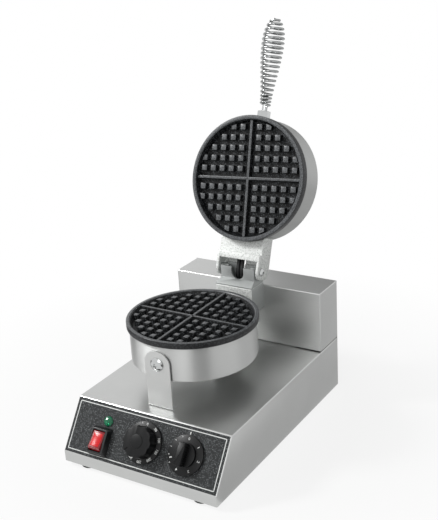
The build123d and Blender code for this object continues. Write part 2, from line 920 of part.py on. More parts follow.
def lid_hinge():
    """Cast hinge on the lid: two rounded cheeks joined by a web that steps back, and a pad."""
    reach = 60.0
    web_face = cheek_below - web_recess
    cheek_outline = make_face(
        Polyline(
            (-cheek_front, -cheek_below),
            (web_fold, -cheek_below),
            (web_fold, -web_face),
            (reach, -web_face),
            (reach, cheek_above),
            (-cheek_front, cheek_above),
            close=True,
        )
    )
    cheek_outline = fillet(cheek_outline.vertices().sort_by(Axis.X)[:2], cheek_round)
    web_outline = make_face(
        Polyline(
            (web_start, -cheek_below),
            (web_fold, -cheek_below),
            (web_fold, -web_face),
            (reach, -web_face),
            (reach, web_thickness - web_face),
            (web_fold - web_thickness, web_thickness - web_face),
            (web_fold - web_thickness, web_thickness - cheek_below),
            (web_start, web_thickness - cheek_below),
            close=True,
        )
    )
    side_view = Plane(origin=(0, hinge_y, hinge_height), x_dir=(0, -1, 0), z_dir=(-1, 0, 0))
    cheek = extrude(cheek_outline, cheek_thickness)
    left = side_view * (Pos(0, 0, cheek_outside - cheek_thickness) * cheek)
    right = side_view * (Pos(0, 0, -cheek_outside) * cheek)
    web = side_view * extrude(web_outline, cheek_outside - cheek_thickness / 2, both=True)
    pad = block(
        (-cheek_outside + 1, pan_y, hinge_height + web_thickness - web_face),
        (cheek_outside - 1, pan_y + lid_radius + hinge_pad, hinge_height + cheek_above),
    )
    hinge = left + right + web + pad
    hinge -= Pos(0, pan_y, lid_top) * Cylinder(lid_radius, 2 * (lid_top - lid_shell_bottom))
    hinge -= Pos(0, pan_y, lid_face) * Cylinder(rim_radius + 0.3, 2 * upper_band + 0.6)
    hinge -= rod((-50, hinge_y, hinge_height), (1, 0, 0), hinge_bore_radius, 100)
    for x in lead_places:
        hinge -= lead_hole(x)
    for x, z in hinge_screw_places():
        hinge -= screw_hole((x, pan_y + lid_radius, z), rearward, 30)
    return hinge


def lid_hinge_screws():
    """Screws through the hinge's pad into the drum, with nuts inside."""
    screws = []
    seat = pan_y + lid_radius + hinge_pad
    for x, z in hinge_screw_places():
        inside = pan_y + math.sqrt((lid_radius - drum_sheet) ** 2 - (abs(x) + nut_across / 2) ** 2)
        bolt = screw((x, seat, z), forward, seat - inside + nut_height + 2)
        bolt += hexagon_nut((x, inside - 0.3, z), forward, nut_across, nut_height)
        screws.append(bolt)
    return screws


def base_leads():
    """Two sleeved leads from the terminal block up through the neck to the hinge."""
    leads = []
    top_y = hinge_y + 2.0
    block_top = bottom_plate_top + terminal_block_height
    for x in lead_places:
        route = [
            (x, top_y, hinge_height - lead_hinge_gap),
            (x, top_y, neck_bottom + 26.0),
            (x, passage_y, neck_floor),
            (x, passage_y, block_top + 0.3),
        ]
        path = FilletPolyline(*route, radius=lead_bend)
        section = Plane(origin=route[0], z_dir=down) * RegularPolygon(lead_radius, 6)
        leads.append(sweep(section, path=path))
    return leads


def lid_leads():
    """The same two leads beyond the hinge, where they enter the lid."""
    leads = []
    for x in lead_places:
        start, way = lid_lead_line(x)
        leads.append(peg(start, way, lead_radius, way.length + 12))
    return leads


def terminal_block():
    """Three-pole terminal block on the bottom plate, under the passage."""
    half = terminal_block_width / 2
    depth = terminal_block_depth / 2
    body = block((-half, -depth, 0), (half, depth, terminal_block_step))
    body += block((-half, -depth / 2, terminal_block_step), (half, depth / 2, terminal_block_height))
    for pole in (-1, 0, 1):
        x = pole * terminal_block_width / 3.2
        body -= peg((x, -depth - 1, terminal_block_step / 2), rearward, 3.0, 2 * depth + 2)
        body -= peg((x, 0, terminal_block_height - 4), up, 2.2, 5)
    return Pos(lead_x, passage_y, bottom_plate_top) * body


def handle_nut():
    """Hexagonal foot of the handle, seated on the drum, with the stud through it."""
    face = pan_y - lid_radius
    nut = hexagon_nut((0, face + 2, handle_z), forward, handle_nut_across, handle_nut_length + 2)
    nut = chamfer(nut.faces().sort_by(Axis.Y)[0].edges(), 1.0)
    nut -= Pos(0, pan_y, handle_z) * Cylinder(lid_radius, 60)
    inner_end = face + drum_sheet + 9
    reach = inner_end - handle_face + handle_stud_length
    return nut + peg((0, inner_end, handle_z), forward, handle_stud_radius, reach, 12)


def handle_lock_nut():
    """Nut on the handle's stud inside the drum."""
    start = pan_y - lid_radius + drum_sheet + 0.6
    nut = hexagon_nut((0, start, handle_z), rearward, handle_lock_across, 6.0)
    return nut - peg((0, start, handle_z), rearward, handle_stud_radius + 0.05, 6.0, 12)


def coil_reach(turn):
    """Distance along the handle from the first turn, at a number of turns."""
    whole = coil_length - coil_run_out
    tight = tight_pitch * tight_turns
    open_pitch = (whole - tight - tip_pitch * tip_turns) / open_turns
    if turn <= tight_turns:
        return tight_pitch * turn
    if turn <= tight_turns + open_turns:
        return tight + open_pitch * (turn - tight_turns)
    return whole - tip_pitch * (tight_turns + open_turns + tip_turns - turn)


def coil_radius(reach):
    """Radius of the wire's centre: a long swell, then a short round tip."""
    share = (reach + coil_run_out) / coil_length
    if share < coil_belly_at:
        swell = math.sin(math.pi / 2 * share / coil_belly_at) ** 2
        return coil_base_radius + (coil_belly_radius - coil_base_radius) * swell
    fall = (share - coil_belly_at) / (1 - coil_belly_at)
    return max(coil_tip_radius, coil_belly_radius * math.sqrt(max(0.0, 1 - fall * fall)))


def coil_point(turn):
    """Centre of the wire at a number of turns, with the handle's axis along Z."""
    reach = coil_reach(turn)
    radius = coil_radius(reach)
    angle = 2 * math.pi * turn
    return Vector(radius * math.cos(angle), radius * math.sin(angle), coil_run_out + reach)


def coil_direction(turn):
    """Direction of the wire at a number of turns."""
    step = 0.01
    last = tight_turns + open_turns + tip_turns
    return (coil_point(min(turn + step, last)) - coil_point(max(turn - step, 0.0))).normalized()


def biarc(start, start_way, end, end_way):
    """Two arcs that join two points and leave each in its own direction."""
    span = end - start
    a = 2 * (start_way.dot(end_way) - 1)
    b = -2 * span.dot(start_way + end_way)
    c = span.dot(span)
    reach = (-b - math.sqrt(b * b - 4 * a * c)) / (2 * a)
    near = start + start_way * reach
    far = end - end_way * reach
    middle = (near + far) * 0.5
    return [
        Edge.make_tangent_arc(start, start_way, middle),
        Edge.make_tangent_arc(middle, (far - near).normalized(), end),
    ]


def coil_path():
    """The wire's centre line: a straight foot, half-turn biarcs and a straight end."""
    last = tight_turns + open_turns + tip_turns
    count = round(2 * last)
    stops = [last * i / count for i in range(count + 1)]
    first = coil_point(0)
    foot = Vector(first.X - coil_foot_in, -coil_foot_back, 0)
    foot_top = foot + Vector(0, 0, 2 * wire_radius)
    edges = [Edge.make_line(foot, foot_top)]
    edges += biarc(foot_top, Vector(0, 0, 1), first, coil_direction(0))
    for here, there in zip(stops, stops[1:]):
        edges += biarc(coil_point(here), coil_direction(here), coil_point(there), coil_direction(there))
    end = coil_point(last)
    edges.append(Edge.make_line(end, end + coil_direction(last) * 2 * wire_radius))
    return Wire(edges)


def least_self_gap(path):
    """Least distance between turns of the wire, less the wire's thickness."""
    points = []
    travelled = 0.0
    for edge in path.edges():
        for part in range(6):
            points.append((travelled + edge.length * part / 6, edge.position_at(part / 6)))
        travelled += edge.length
    apart = 5 * wire_radius
    nearest = min(
        (q - p).length
        for i, (at_p, p) in enumerate(points)
        for at_q, q in points[i + 1 :]
        if at_q - at_p > apart and abs(q.Z - p.Z) < 12
    )
    return nearest - 2 * wire_radius


def handle_coil():
    """Sprung wire grip, wound as one unbroken tube that is welded to the face of the nut."""
    path = coil_path()
    print("least gap between the turns of the handle:", round(least_self_gap(path), 2))
    section = Plane(origin=path @ 0, z_dir=path % 0) * RegularPolygon(wire_radius, 6)
    coil = sweep(section, path=path)
    return Plane(origin=(0, handle_face, handle_z), x_dir=(1, 0, 0), z_dir=forward) * coil


# Controls


def tabs(spread, depth):
    """Two flat connector tabs that stand out behind a control."""
    pair = []
    for x in (-spread / 2, spread / 2):
        low = (x - tab_thickness / 2, -tab_width / 2, -depth - tab_length)
        pair.append(block(low, (x + tab_thickness / 2, tab_width / 2, -depth + 1)))
    return pair[0] + pair[1]


def rocker_case():
    """Tapered black case of the switch, with its body behind the panel."""
    flare = extrude(
        Rectangle(rocker_case_width, rocker_case_length), rocker_case_height, taper=rocker_case_draft
    )
    flare = chamfer([edge for edge in flare.edges() if abs((edge % 0.5).Z) > 0.5], rocker_case_corner)
    half_width = rocker_body_width / 2
    half_length = rocker_body_length / 2
    case = Pos(0, 0, overlay_thickness) * flare
    case += block(
        (-half_width, -half_length, -rocker_body_depth), (half_width, half_length, overlay_thickness + 1)
    )
    well_half = rocker_end_radius + rocker_gap
    side = rocker_width / 2 + rocker_gap
    case -= block((-side, -well_half, -6), (side, well_half, 30))
    pin_reach = rocker_width / 2 + rocker_pin_length + 0.3
    case -= rod(
        (-pin_reach, 0, rocker_pivot_height), (1, 0, 0), rocker_pin_radius + shaft_clearance, 2 * pin_reach
    )
    case += tabs(rocker_body_width / 2, rocker_body_depth)
    return panel_plane * (Pos(*rocker_place, 0) * case)


def rocker():
    """Red rocker, pressed in at its upper end, with ends curved about its pivot."""
    radius = rocker_end_radius
    face = rocker_face_rise
    half = math.sqrt(radius**2 - face**2)
    low_half = math.sqrt(radius**2 - 1)
    middle_angle = (math.atan2(face, half) + math.atan2(1, low_half)) / 2
    bulge = (radius * math.cos(middle_angle), radius * math.sin(middle_angle))
    outline = make_face(
        Polyline((half, face), (0, face - 0.8), (-half, face))
        + ThreePointArc((-half, face), (-bulge[0], bulge[1]), (-low_half, 1))
        + Polyline((-low_half, 1), (-3, -4), (3, -4), (low_half, 1))
        + ThreePointArc((low_half, 1), bulge, (half, face))
    )
    key = extrude(Plane.YZ * outline, rocker_width / 2, both=True)
    pin_half = rocker_width / 2 + rocker_pin_length
    key += rod((-pin_half, 0, 0), (1, 0, 0), rocker_pin_radius, 2 * pin_half)
    return panel_plane * (Pos(*rocker_place, rocker_pivot_height) * (Rot(-rocker_tilt, 0, 0) * key))


def lamp_lens():
    """Green faceted dome of the indicator lamp."""
    collar = extrude(RegularPolygon(lamp_radius, lamp_sides), lamp_height * 0.55, taper=20)
    crown_radius = lamp_radius - lamp_height * 0.55 * math.tan(math.radians(20)) - 0.05
    crown = extrude(RegularPolygon(crown_radius, lamp_sides), lamp_height * 0.45, taper=52)
    lens = Pos(0, 0, overlay_thickness) * (collar + Pos(0, 0, lamp_height * 0.55) * crown)
    lens += peg((0, 0, -7), up, lamp_radius - 2, 8, lamp_sides)
    lens -= peg((0, 0, -8), up, lamp_radius - 3.2, 9, lamp_sides)
    return panel_plane * (Pos(*lamp_place, 0) * lens)


def lamp_bulb():
    """Neon tube and holder behind the lens."""
    bulb = peg((0, 0, -12), up, 2.6, 12) + peg((0, 0, -20), up, lamp_radius - 2, 12, lamp_sides)
    return panel_plane * (Pos(*lamp_place, 0) * bulb)


def control_body(place, size):
    """A control's case behind the panel and the threaded bush that clamps it."""
    half = size / 2
    body = block((-half, -half, -sheet - control_body_depth), (half, half, -sheet))
    body = chamfer(body.edges().filter_by(Axis.Z), 3)
    body += peg((0, 0, -sheet - 1), up, bush_radius, sheet + 6, 12)
    body -= rod((0, 0, shaft_low - 1), up, shaft_radius + shaft_clearance, 30)
    body += tabs(half, sheet + control_body_depth)
    return panel_plane * (Pos(*place, 0) * body)


def bush_nuts():
    """Nuts that clamp the thermostat and the timer to the panel."""
    nut = hexagon_nut((0, 0, overlay_thickness), up, bush_nut_across, bush_nut_height)
    nut -= peg((0, 0, -1), up, bush_radius + 0.05, 10, 12)
    return [panel_plane * (Pos(*place, 0) * nut) for place in (thermostat_place, timer_place)]


def control_shaft(place):
    """A control's turning shaft, with a flat that drives the knob."""
    shaft = rod((0, 0, shaft_low), up, shaft_radius, shaft_high - shaft_low)
    shaft -= block((shaft_flat, -5, shaft_flat_start), (5, 5, shaft_high + 1))
    return panel_plane * (Pos(*place, 0) * shaft)


def knob_base(skirt_radius, hub_radius, hub_height):
    """What both knobs share: a skirt and a hub."""
    bottom = overlay_thickness + knob_lift
    skirt = rod((0, 0, bottom), up, skirt_radius, skirt_thickness)
    return skirt + rod((0, 0, bottom), up, hub_radius, hub_height - bottom)


def hollow_knob(knob):
    """Cut the room for the nut and the flatted bore out of a knob."""
    knob -= peg((0, 0, 0), up, knob_cavity_radius, knob_cavity_top, 12)
    bore = rod((0, 0, 1), up, shaft_radius + shaft_clearance, shaft_high - 1 + 0.1)
    bore -= block((shaft_flat + shaft_clearance, -5, shaft_flat_start + 0.2), (5, 5, 20))
    return knob - bore


def thermostat_knob():
    """Scalloped knob with a raised centre, a pointer slot and a dial skirt."""
    top = thermostat_knob_height
    floor = overlay_thickness + knob_lift + skirt_thickness
    knob = knob_base(thermostat_skirt_radius, thermostat_knob_radius, top)
    scallop_circle = thermostat_knob_radius + scallop_radius - scallop_depth
    for x, y in ring_of_places(scallop_circle, thermostat_scallops, 22.5):
        knob -= rod((x, y, floor), up, scallop_radius, top)
    knob += rod((0, 0, top - 1), up, thermostat_cap_radius, 1.8)
    slot = Pos(thermostat_knob_radius - 3.4, 0, top) * Box(6, 1.6, 2)
    knob -= Rot(0, 0, 225) * slot
    return panel_plane * (Pos(*thermostat_place, 0) * hollow_knob(knob))


def timer_knob():
    """Disc with a straight bar grip and a dial skirt."""
    knob = knob_base(timer_skirt_radius, timer_disc_radius, timer_disc_height)
    grip_rise = timer_grip_height - timer_disc_height + 1
    grip = Box(timer_grip_width, 60, grip_rise) & Cylinder(timer_disc_radius - 0.8, 60)
    knob += Pos(0, 0, timer_grip_height - grip_rise / 2) * grip
    return panel_plane * (Pos(*timer_place, 0) * hollow_knob(knob))


# Putting the waffle maker together

fixed_pieces = {
    "base_housing": base_housing(),
    "bottom_plate": bottom_plate(),
    "feet": feet(),
    "foot_screws": foot_screws(),
    "control_overlay": control_overlay(),
    "rear_box": rear_box(),
    "rear_box_screws": rear_box_screws(),
    "rear_cover": rear_cover(),
    "cover_screws": cover_screws(),
    "cord_gland": cord_gland(),
    "gland_nut": gland_nut(),
    "neck": neck(),
    "neck_screws": neck_screws(),
    "lower_hinge": lower_hinge(),
    "hinge_bolts": hinge_bolts(),
    "hinge_washers": hinge_washers(),
    "front_bracket": front_bracket(),
    "rear_bracket": rear_bracket(),
    "bracket_screws": bracket_screws(),
    "pan_bolts": pan_bolts(),
    "lower_drum": lower_drum(),
    "lower_plate": lower_plate(),
    "lower_element": heating_element(lower_plate_back, -1),
    "lower_element_clamp": element_clamp(lower_plate_back, -1),
    "lower_insulation": insulation(lower_plate_back, -1),
    "lower_tie_screws": tie_screws(drum_bottom, lower_plate_back, 1),
    "lead_conduit": lead_conduit(),
    "base_leads": base_leads(),
    "terminal_block": terminal_block(),
    "rocker_case": rocker_case(),
    "lamp_lens": lamp_lens(),
    "lamp_bulb": lamp_bulb(),
    "thermostat_body": control_body(thermostat_place, thermostat_body_size),
    "timer_body": control_body(timer_place, timer_body_size),
    "bush_nuts": bush_nuts(),
    "rocker": rocker(),
    "thermostat_knob": thermostat_knob(),
    "thermostat_shaft": control_shaft(thermostat_place),
    "timer_knob": timer_knob(),
    "timer_shaft": control_shaft(timer_place),
}

lid_pieces = {
    "upper_drum": upper_drum(),
    "upper_plate": upper_plate(),
    "upper_element": heating_element(upper_plate_back, 1),
    "upper_element_clamp": element_clamp(upper_plate_back, 1),
    "upper_insulation": insulation(upper_plate_back, 1),
    "upper_tie_screws": tie_screws(lid_top, upper_plate_back, -1),
    "lid_hinge": lid_hinge(),
    "lid_hinge_screws": lid_hinge_screws(),
    "lid_leads": lid_leads(),
    "handle": [handle_nut(), handle_coil()],
    "handle_lock_nut": handle_lock_nut(),
}

hinge_axis = Axis((0, hinge_y, hinge_height), (1, 0, 0))


def as_compound(piece):
    """One shape for a node, whether it is a single solid or a group of them."""
    solids = []
    for shape in piece if isinstance(piece, list) else [piece]:
        solids.extend(shape.solids())
    return Compound(children=solids) if len(solids) > 1 else solids[0]


nodes = {name: as_compound(piece) for name, piece in fixed_pieces.items()}
for name, piece in lid_pieces.items():
    nodes[name] = as_compound(piece).rotate(hinge_axis, -open_angle)

boxes = [shape.bounding_box() for shape in nodes.values()]
rearmost = max(box.max.Y for box in boxes)
foremost = min(box.min.Y for box in boxes)
middle_y = (rearmost + foremost) / 2
print("the origin is", round(middle_y, 3), "behind the front of the base")

os.makedirs("parts", exist_ok=True)
for name, shape in nodes.items():
    export_step(Pos(0, -middle_y, 0) * shape, f"parts/{name}.step")
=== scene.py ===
import json
import logging
import math
from dataclasses import dataclass
from enum import Enum
from typing import Callable, Iterable, Sequence

import bmesh
import bpy
from mathutils import Matrix, Vector


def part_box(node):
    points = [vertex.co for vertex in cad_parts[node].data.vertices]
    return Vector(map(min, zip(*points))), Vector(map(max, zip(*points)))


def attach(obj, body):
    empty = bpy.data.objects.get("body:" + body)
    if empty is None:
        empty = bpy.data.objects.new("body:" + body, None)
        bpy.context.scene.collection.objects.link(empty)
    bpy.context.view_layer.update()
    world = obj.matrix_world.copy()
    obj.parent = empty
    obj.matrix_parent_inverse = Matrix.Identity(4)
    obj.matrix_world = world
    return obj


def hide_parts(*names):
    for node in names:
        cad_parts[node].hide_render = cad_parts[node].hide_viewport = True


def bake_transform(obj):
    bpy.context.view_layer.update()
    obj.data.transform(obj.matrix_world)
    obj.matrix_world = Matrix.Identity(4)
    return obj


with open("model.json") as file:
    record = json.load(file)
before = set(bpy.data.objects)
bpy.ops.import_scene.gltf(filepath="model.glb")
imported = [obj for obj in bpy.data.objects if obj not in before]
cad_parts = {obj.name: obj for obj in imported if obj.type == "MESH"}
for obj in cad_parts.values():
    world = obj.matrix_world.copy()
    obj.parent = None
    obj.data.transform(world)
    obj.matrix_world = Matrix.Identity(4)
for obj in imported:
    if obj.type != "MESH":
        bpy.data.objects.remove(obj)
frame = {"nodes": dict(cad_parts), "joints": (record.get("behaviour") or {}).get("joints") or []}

# Round waffle maker on a box base, standing open. Lengths are in metres, apart from those of the
# finishes' patterns and the leads' fixed way, which are in millimetres.
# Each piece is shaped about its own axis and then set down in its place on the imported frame.

logging.basicConfig(level=logging.INFO, format="%(name)s: %(message)s")
log = logging.getLogger("waffle_maker")

MM = 0.001
WHITE = (1, 1, 1, 1)
# Most values of a noise lie between these two.
NOISE_LOW, NOISE_HIGH = 0.3, 0.7
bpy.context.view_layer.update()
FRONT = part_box("base_housing")[0].y
LID_JOINT = next(joint for joint in frame["joints"] if joint["name"] == "lid_hinge")
HINGE = Vector(LID_JOINT["pos_m"])
LID_OPEN = math.radians(LID_JOINT["range_deg"][1])

Place = Sequence[float]
Test = Callable[[Vector, Vector], bool]
Tree = bpy.types.NodeTree
Socket = bpy.types.NodeSocket


class Body(Enum):
    """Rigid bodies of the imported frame."""

    BASE = "base"
    LID = "lid"
    ROCKER = "rocker_key"
    THERMOSTAT = "thermostat_dial"
    TIMER = "timer_dial"


class Part(Enum):
    """What a selection is made of."""

    FACE = "FACE"
    EDGE = "EDGE"


class Run(Enum):
    """How a bar follows its points: straight from each to the next, or smoothly beside them."""

    STRAIGHT = "POLY"
    SMOOTH = "NURBS"


class Shared(Enum):
    """What becomes of the part of a piece that lies inside another."""

    REMOVED = "DIFFERENCE"
    KEPT = "INTERSECT"


def place(x: float, y: float, z: float) -> Matrix:
    """Puts a piece at X from the middle, Y behind the base's front and Z above the bench."""
    return Matrix.Translation((x, FRONT + y, z))


def turned(axis: str, degrees: float) -> Matrix:
    """Turns a piece about one of its own axes."""
    return Matrix.Rotation(math.radians(degrees), 4, axis)


def on_lid(seat: Matrix) -> Matrix:
    """Turns a place on the closed lid to where it is with the lid open."""
    hinge = Matrix.Translation(HINGE)
    return hinge @ Matrix.Rotation(-LID_OPEN, 4, "X") @ hinge.inverted() @ seat


# Finishes


def linear(colour: str) -> tuple[float, float, float, float]:
    """Turns an sRGB hex colour into Blender's linear colour.

    Args:
        colour: Six hex digits after a hash sign.

    Returns:
        Red, green, blue and an alpha of one.
    """
    parts = [int(colour[i : i + 2], 16) / 255 for i in (1, 3, 5)]
    red, green, blue = [c / 12.92 if c <= 0.04045 else ((c + 0.055) / 1.055) ** 2.4 for c in parts]
    return red, green, blue, 1.0


def emptied(owner: bpy.types.Material | bpy.types.World) -> Tree:
    """Gives a material or a world an empty node tree.

    Args:
        owner: The material or the world.

    Returns:
        The empty tree.
    """
    owner.use_nodes = True
    owner.node_tree.nodes.clear()
    return owner.node_tree


def add(tree: Tree, kind: str, inputs: dict | None = None, **settings: object) -> bpy.types.Node:
    """Adds a node with its settings and links.

    Args:
        tree: The material's or the world's node tree.
        kind: Name of the node type after ShaderNode.
        inputs: For each input by name or number, a value to set or an output to link.
        settings: The node's own settings.

    Returns:
        The new node.
    """
    node = tree.nodes.new("ShaderNode" + kind)
    for name, value in settings.items():
        setattr(node, name, value)
    for key, value in (inputs or {}).items():
        if isinstance(value, Socket):
            tree.links.new(value, node.inputs[key])
        else:
            node.inputs[key].default_value = value
    return node


@dataclass(frozen=True)
class Finish:
    """A finish with a fine grain, large faint clouds and a bump that follows the grain.

    The grain is the size of one mark along X, Y and Z in millimetres. Spread is how far the
    roughness goes up and down, shade is how much darker the grain's low places are, and turn
    is the angle about X that brings the grain in line with a tilted piece. Bump is the grain's
    height and clouds is the size of a cloud, both in millimetres. Gloss is how much a non-metal
    reflects, and draw is how far highlights are drawn out along the turned Z axis.
    """

    name: str
    colour: str
    metallic: float = 0.0
    roughness: float = 0.5
    spread: float = 0.05
    grain: tuple[float, float, float] = (1.0, 1.0, 1.0)
    shade: float = 0.08
    bump: float = 0.05
    clouds: float = 60.0
    cloud_shade: float = 0.04
    turn: float = 0.0
    gloss: float = 0.5
    draw: float = 0.0

    def material(self) -> bpy.types.Material:
        """Makes the material, or finds it if it is already there.

        Returns:
            The node material.
        """
        found = bpy.data.materials.get(self.name)
        if found:
            return found
        made = bpy.data.materials.new(self.name)
        tree = emptied(made)
        settings = {"Metallic": self.metallic, "Specular IOR Level": self.gloss, "Anisotropic": self.draw}
        shader = add(tree, "BsdfPrincipled", settings)
        add(tree, "OutputMaterial", {"Surface": shader.outputs[0]})
        if self.draw:
            line = add(tree, "CombineXYZ", {1: -math.sin(self.turn), 2: math.cos(self.turn)})
            ways = {"vector_type": "VECTOR", "convert_from": "OBJECT", "convert_to": "WORLD"}
            drawn = add(tree, "VectorTransform", {0: line.outputs[0]}, **ways)
            tree.links.new(drawn.outputs[0], shader.inputs["Tangent"])
        self.paint(tree, shader)
        made.diffuse_color = linear(self.colour)
        return made

    def pattern(self, tree: Tree) -> Socket:
        """The grain as a value from 0 to 1.

        Args:
            tree: The material's node tree.

        Returns:
            The noise's output.
        """
        where = add(tree, "TexCoord").outputs["Object"]
        scale = [1 / (size * MM) for size in self.grain]
        straight = add(tree, "Mapping", {"Vector": where, "Rotation": (-self.turn, 0, 0)})
        stretched = add(tree, "Mapping", {"Vector": straight.outputs[0], "Scale": scale})
        marks = {"Vector": stretched.outputs[0], "Scale": 1.0, "Detail": 3.0}
        return add(tree, "TexNoise", marks).outputs[0]

    def paint(self, tree: Tree, shader: bpy.types.Node) -> None:
        """Gives the shader its colour, roughness and bump.

        Args:
            tree: The material's node tree.
            shader: The principled shader.
        """
        grain = self.pattern(tree)
        where = add(tree, "TexCoord").outputs["Object"]
        size = {"Vector": where, "Scale": 1 / (self.clouds * MM), "Detail": 2.0}
        clouds = add(tree, "TexNoise", size).outputs[0]
        noise = {1: NOISE_LOW, 2: NOISE_HIGH}
        dark = add(tree, "MapRange", {0: clouds, **noise, 3: 1 - self.cloud_shade, 4: 1.0})
        fine = add(tree, "MapRange", {0: grain, **noise, 3: 1 - self.shade, 4: 1.0})
        both = add(tree, "Math", {0: dark.outputs[0], 1: fine.outputs[0]}, operation="MULTIPLY")
        shaded = {0: linear(self.colour)[:3], 3: both.outputs[0]}
        colour = add(tree, "VectorMath", shaded, operation="SCALE")
        low, high = self.roughness - self.spread, self.roughness + self.spread
        rough = add(tree, "MapRange", {0: grain, **noise, 3: low, 4: high})
        bump = add(tree, "Bump", {"Height": grain, "Strength": 1.0, "Distance": self.bump * MM})
        tree.links.new(colour.outputs[0], shader.inputs["Base Color"])
        tree.links.new(rough.outputs[0], shader.inputs["Roughness"])
        tree.links.new(bump.outputs[0], shader.inputs["Normal"])


@dataclass(frozen=True)
class Speckled(Finish):
    """A finish with small specks of another shade scattered over it.

    The speck size is the distance between specks in millimetres. The share is how far a speck
    reaches of that distance, and the edge is how softly it ends.
    """

    speck: str = "#9a9ea0"
    speck_size: float = 1.4
    speck_share: float = 0.35
    speck_edge: float = 0.1

    def paint(self, tree: Tree, shader: bpy.types.Node) -> None:
        """Adds the specks to the plain finish.

        Args:
            tree: The material's node tree.
            shader: The principled shader.
        """
        super().paint(tree, shader)
        under = shader.inputs["Base Color"].links[0].from_socket
        where = add(tree, "TexCoord").outputs["Object"]
        size = {"Vector": where, "Scale": 1 / (self.speck_size * MM)}
        away = add(tree, "TexVoronoi", size).outputs["Distance"]
        reach = self.speck_share
        share = add(tree, "MapRange", {0: away, 1: reach, 2: reach + self.speck_edge, 3: 1.0, 4: 0.0})
        mixed = add(tree, "Mix", {0: share.outputs[0], 6: under, 7: linear(self.speck)}, data_type="RGBA")
        tree.links.new(mixed.outputs[2], shader.inputs["Base Color"])


@dataclass(frozen=True)
class Translucent(Finish):
    """Clear plastic or glass that light passes into, with its index of refraction."""

    clearness: float = 0.5
    glow: float = 0.0
    index: float = 1.49

    def paint(self, tree: Tree, shader: bpy.types.Node) -> None:
        """Lets light into the plain finish.

        Args:
            tree: The material's node tree.
            shader: The principled shader.
        """
        super().paint(tree, shader)
        shader.inputs["IOR"].default_value = self.index
        shader.inputs["Transmission Weight"].default_value = self.clearness
        shader.inputs["Emission Color"].default_value = linear(self.colour)
        shader.inputs["Emission Strength"].default_value = self.glow


# Brushed stainless sheet: long fine lines that draw highlights out into soft streaks.
BRUSHED_SHEET = Finish("brushed_stainless_sheet", "#c8c9c8", 1.0, 0.33, 0.03, (30, 0.9, 0.9), 0.03, 0.002)
# Spun stainless: lines that run round the drum, so that highlights stand as upright bands.
SPUN_DRUM = Finish(
    "spun_stainless_drum", "#cacbca", 1.0, 0.46, 0.03, (26, 26, 0.8), 0.03, 0.001, draw=0.9
)
# The lid's drum: the same spun stainless in a darker colour, which is painted shade.
SPUN_LID_PAINTED_SHADE = Finish(
    "spun_stainless_lid_painted_shade", "#b4b5b4", 1.0, 0.46, 0.03, (26, 26, 0.8), 0.03, 0.001, turn=-LID_OPEN, draw=0.9
)
# Bracket steel: the same sheet with a duller, upright brush.
BRACKET_SHEET = Finish("brushed_bracket_steel", "#cbcccb", 1.0, 0.42, 0.03, (0.9, 0.9, 24), 0.03, 0.002)
# Chromed wire and bolt heads: bright, with a tight clear reflection.
CHROMED_STEEL = Finish("chromed_steel", "#c6c8c8", 1.0, 0.12, 0.03, (3, 3, 3), 0.03, 0.002)
# Drawn spring wire: the same chrome in a greyer colour all over, which is painted shade for the dark lines
# between the turns.
SPRING_WIRE_PAINTED_SHADE = Finish("chromed_spring_wire_painted_shade", "#a8aaaa", 1.0, 0.14, 0.03, (3, 3, 3), 0.05, 0.002)
# Zinc plated steel: a dull silver with a faint crystal mottle.
ZINC_PLATE = Finish("zinc_plated_steel", "#b9bcbc", 1.0, 0.42, 0.08, (2.2, 2.2, 2.2), 0.14, 0.01)
# Cast aluminium under a non-stick coat: charcoal, with a fine sand-cast tooth and a low sheen.
NON_STICK = Speckled(
    "non_stick_cast_aluminium", "#191a1c", 0.0, 0.42, 0.06, (1.2, 1.2, 1.2), 0.25, 0.03, gloss=0.35,
    speck="#3a3c3f", speck_size=2.2, speck_share=0.35,
)
# The coat inside the recess: blacker as painted shade, and duller, with crumbs of grey.
RECESS_PAINTED_SHADE = Speckled(
    "recess_coat_painted_shade", "#0f1011", 0.0, 0.50, 0.06, (1.2, 1.2, 1.2), 0.25, 0.05, gloss=0.22,
    speck="#484b4e", speck_size=2.4, speck_share=0.32,
)
# The same coat on every crest: greyer as a painted highlight, and a little glossier.
CREST_PAINTED_HIGHLIGHT = Speckled(
    "non_stick_crest_painted_highlight", "#4c4e50", 0.0, 0.36, 0.06, (0.9, 0.9, 0.9), 0.25, 0.02,
    speck="#707376", speck_size=1.5, speck_share=0.4,
)
# Tumbled cast aluminium: pale grey with a pebbled skin.
TUMBLED_CASTING = Speckled(
    "tumbled_cast_aluminium", "#f2f4f2", 0.45, 0.62, 0.08, (3.2, 3.2, 3.2), 0.25, 0.20,
    speck="#c6cac6", speck_size=2.8, speck_share=0.28,
)
# Sand cast aluminium: a duller, coarser skin.
SAND_CASTING = Finish("sand_cast_aluminium", "#b3b6b5", 0.7, 0.55, 0.06, (1.4, 1.4, 1.4), 0.14, 0.08)
# Printed polyester film: charcoal ink with a sparkle of lighter grains under a satin face.
PRINTED_FILM = Speckled(
    "printed_polyester_film", "#2d2f30", 0.0, 0.50, 0.05, (1.0, 1.0, 1.0), 0.10, 0.001, gloss=0.25,
    speck="#94989a", speck_size=1.5, speck_share=0.20,
)
# Screen-printed white ink: flat and slightly chalky.
WHITE_INK = Finish("screen_printed_white_ink", "#f2f4f2", 0.0, 0.55, 0.04, (1.0, 1.0, 1.0), 0.04, 0.004)
# Moulded phenolic knobs: near black with a soft satin bloom.
PHENOLIC = Finish("moulded_phenolic", "#101112", 0.0, 0.34, 0.06, (0.9, 0.9, 0.9), 0.16, 0.008, gloss=0.25)
# Moulded nylon of the switch case: black and glossier.
BLACK_NYLON = Finish("moulded_black_nylon", "#17191a", 0.0, 0.30, 0.05, (0.9, 0.9, 0.9), 0.14, 0.008)
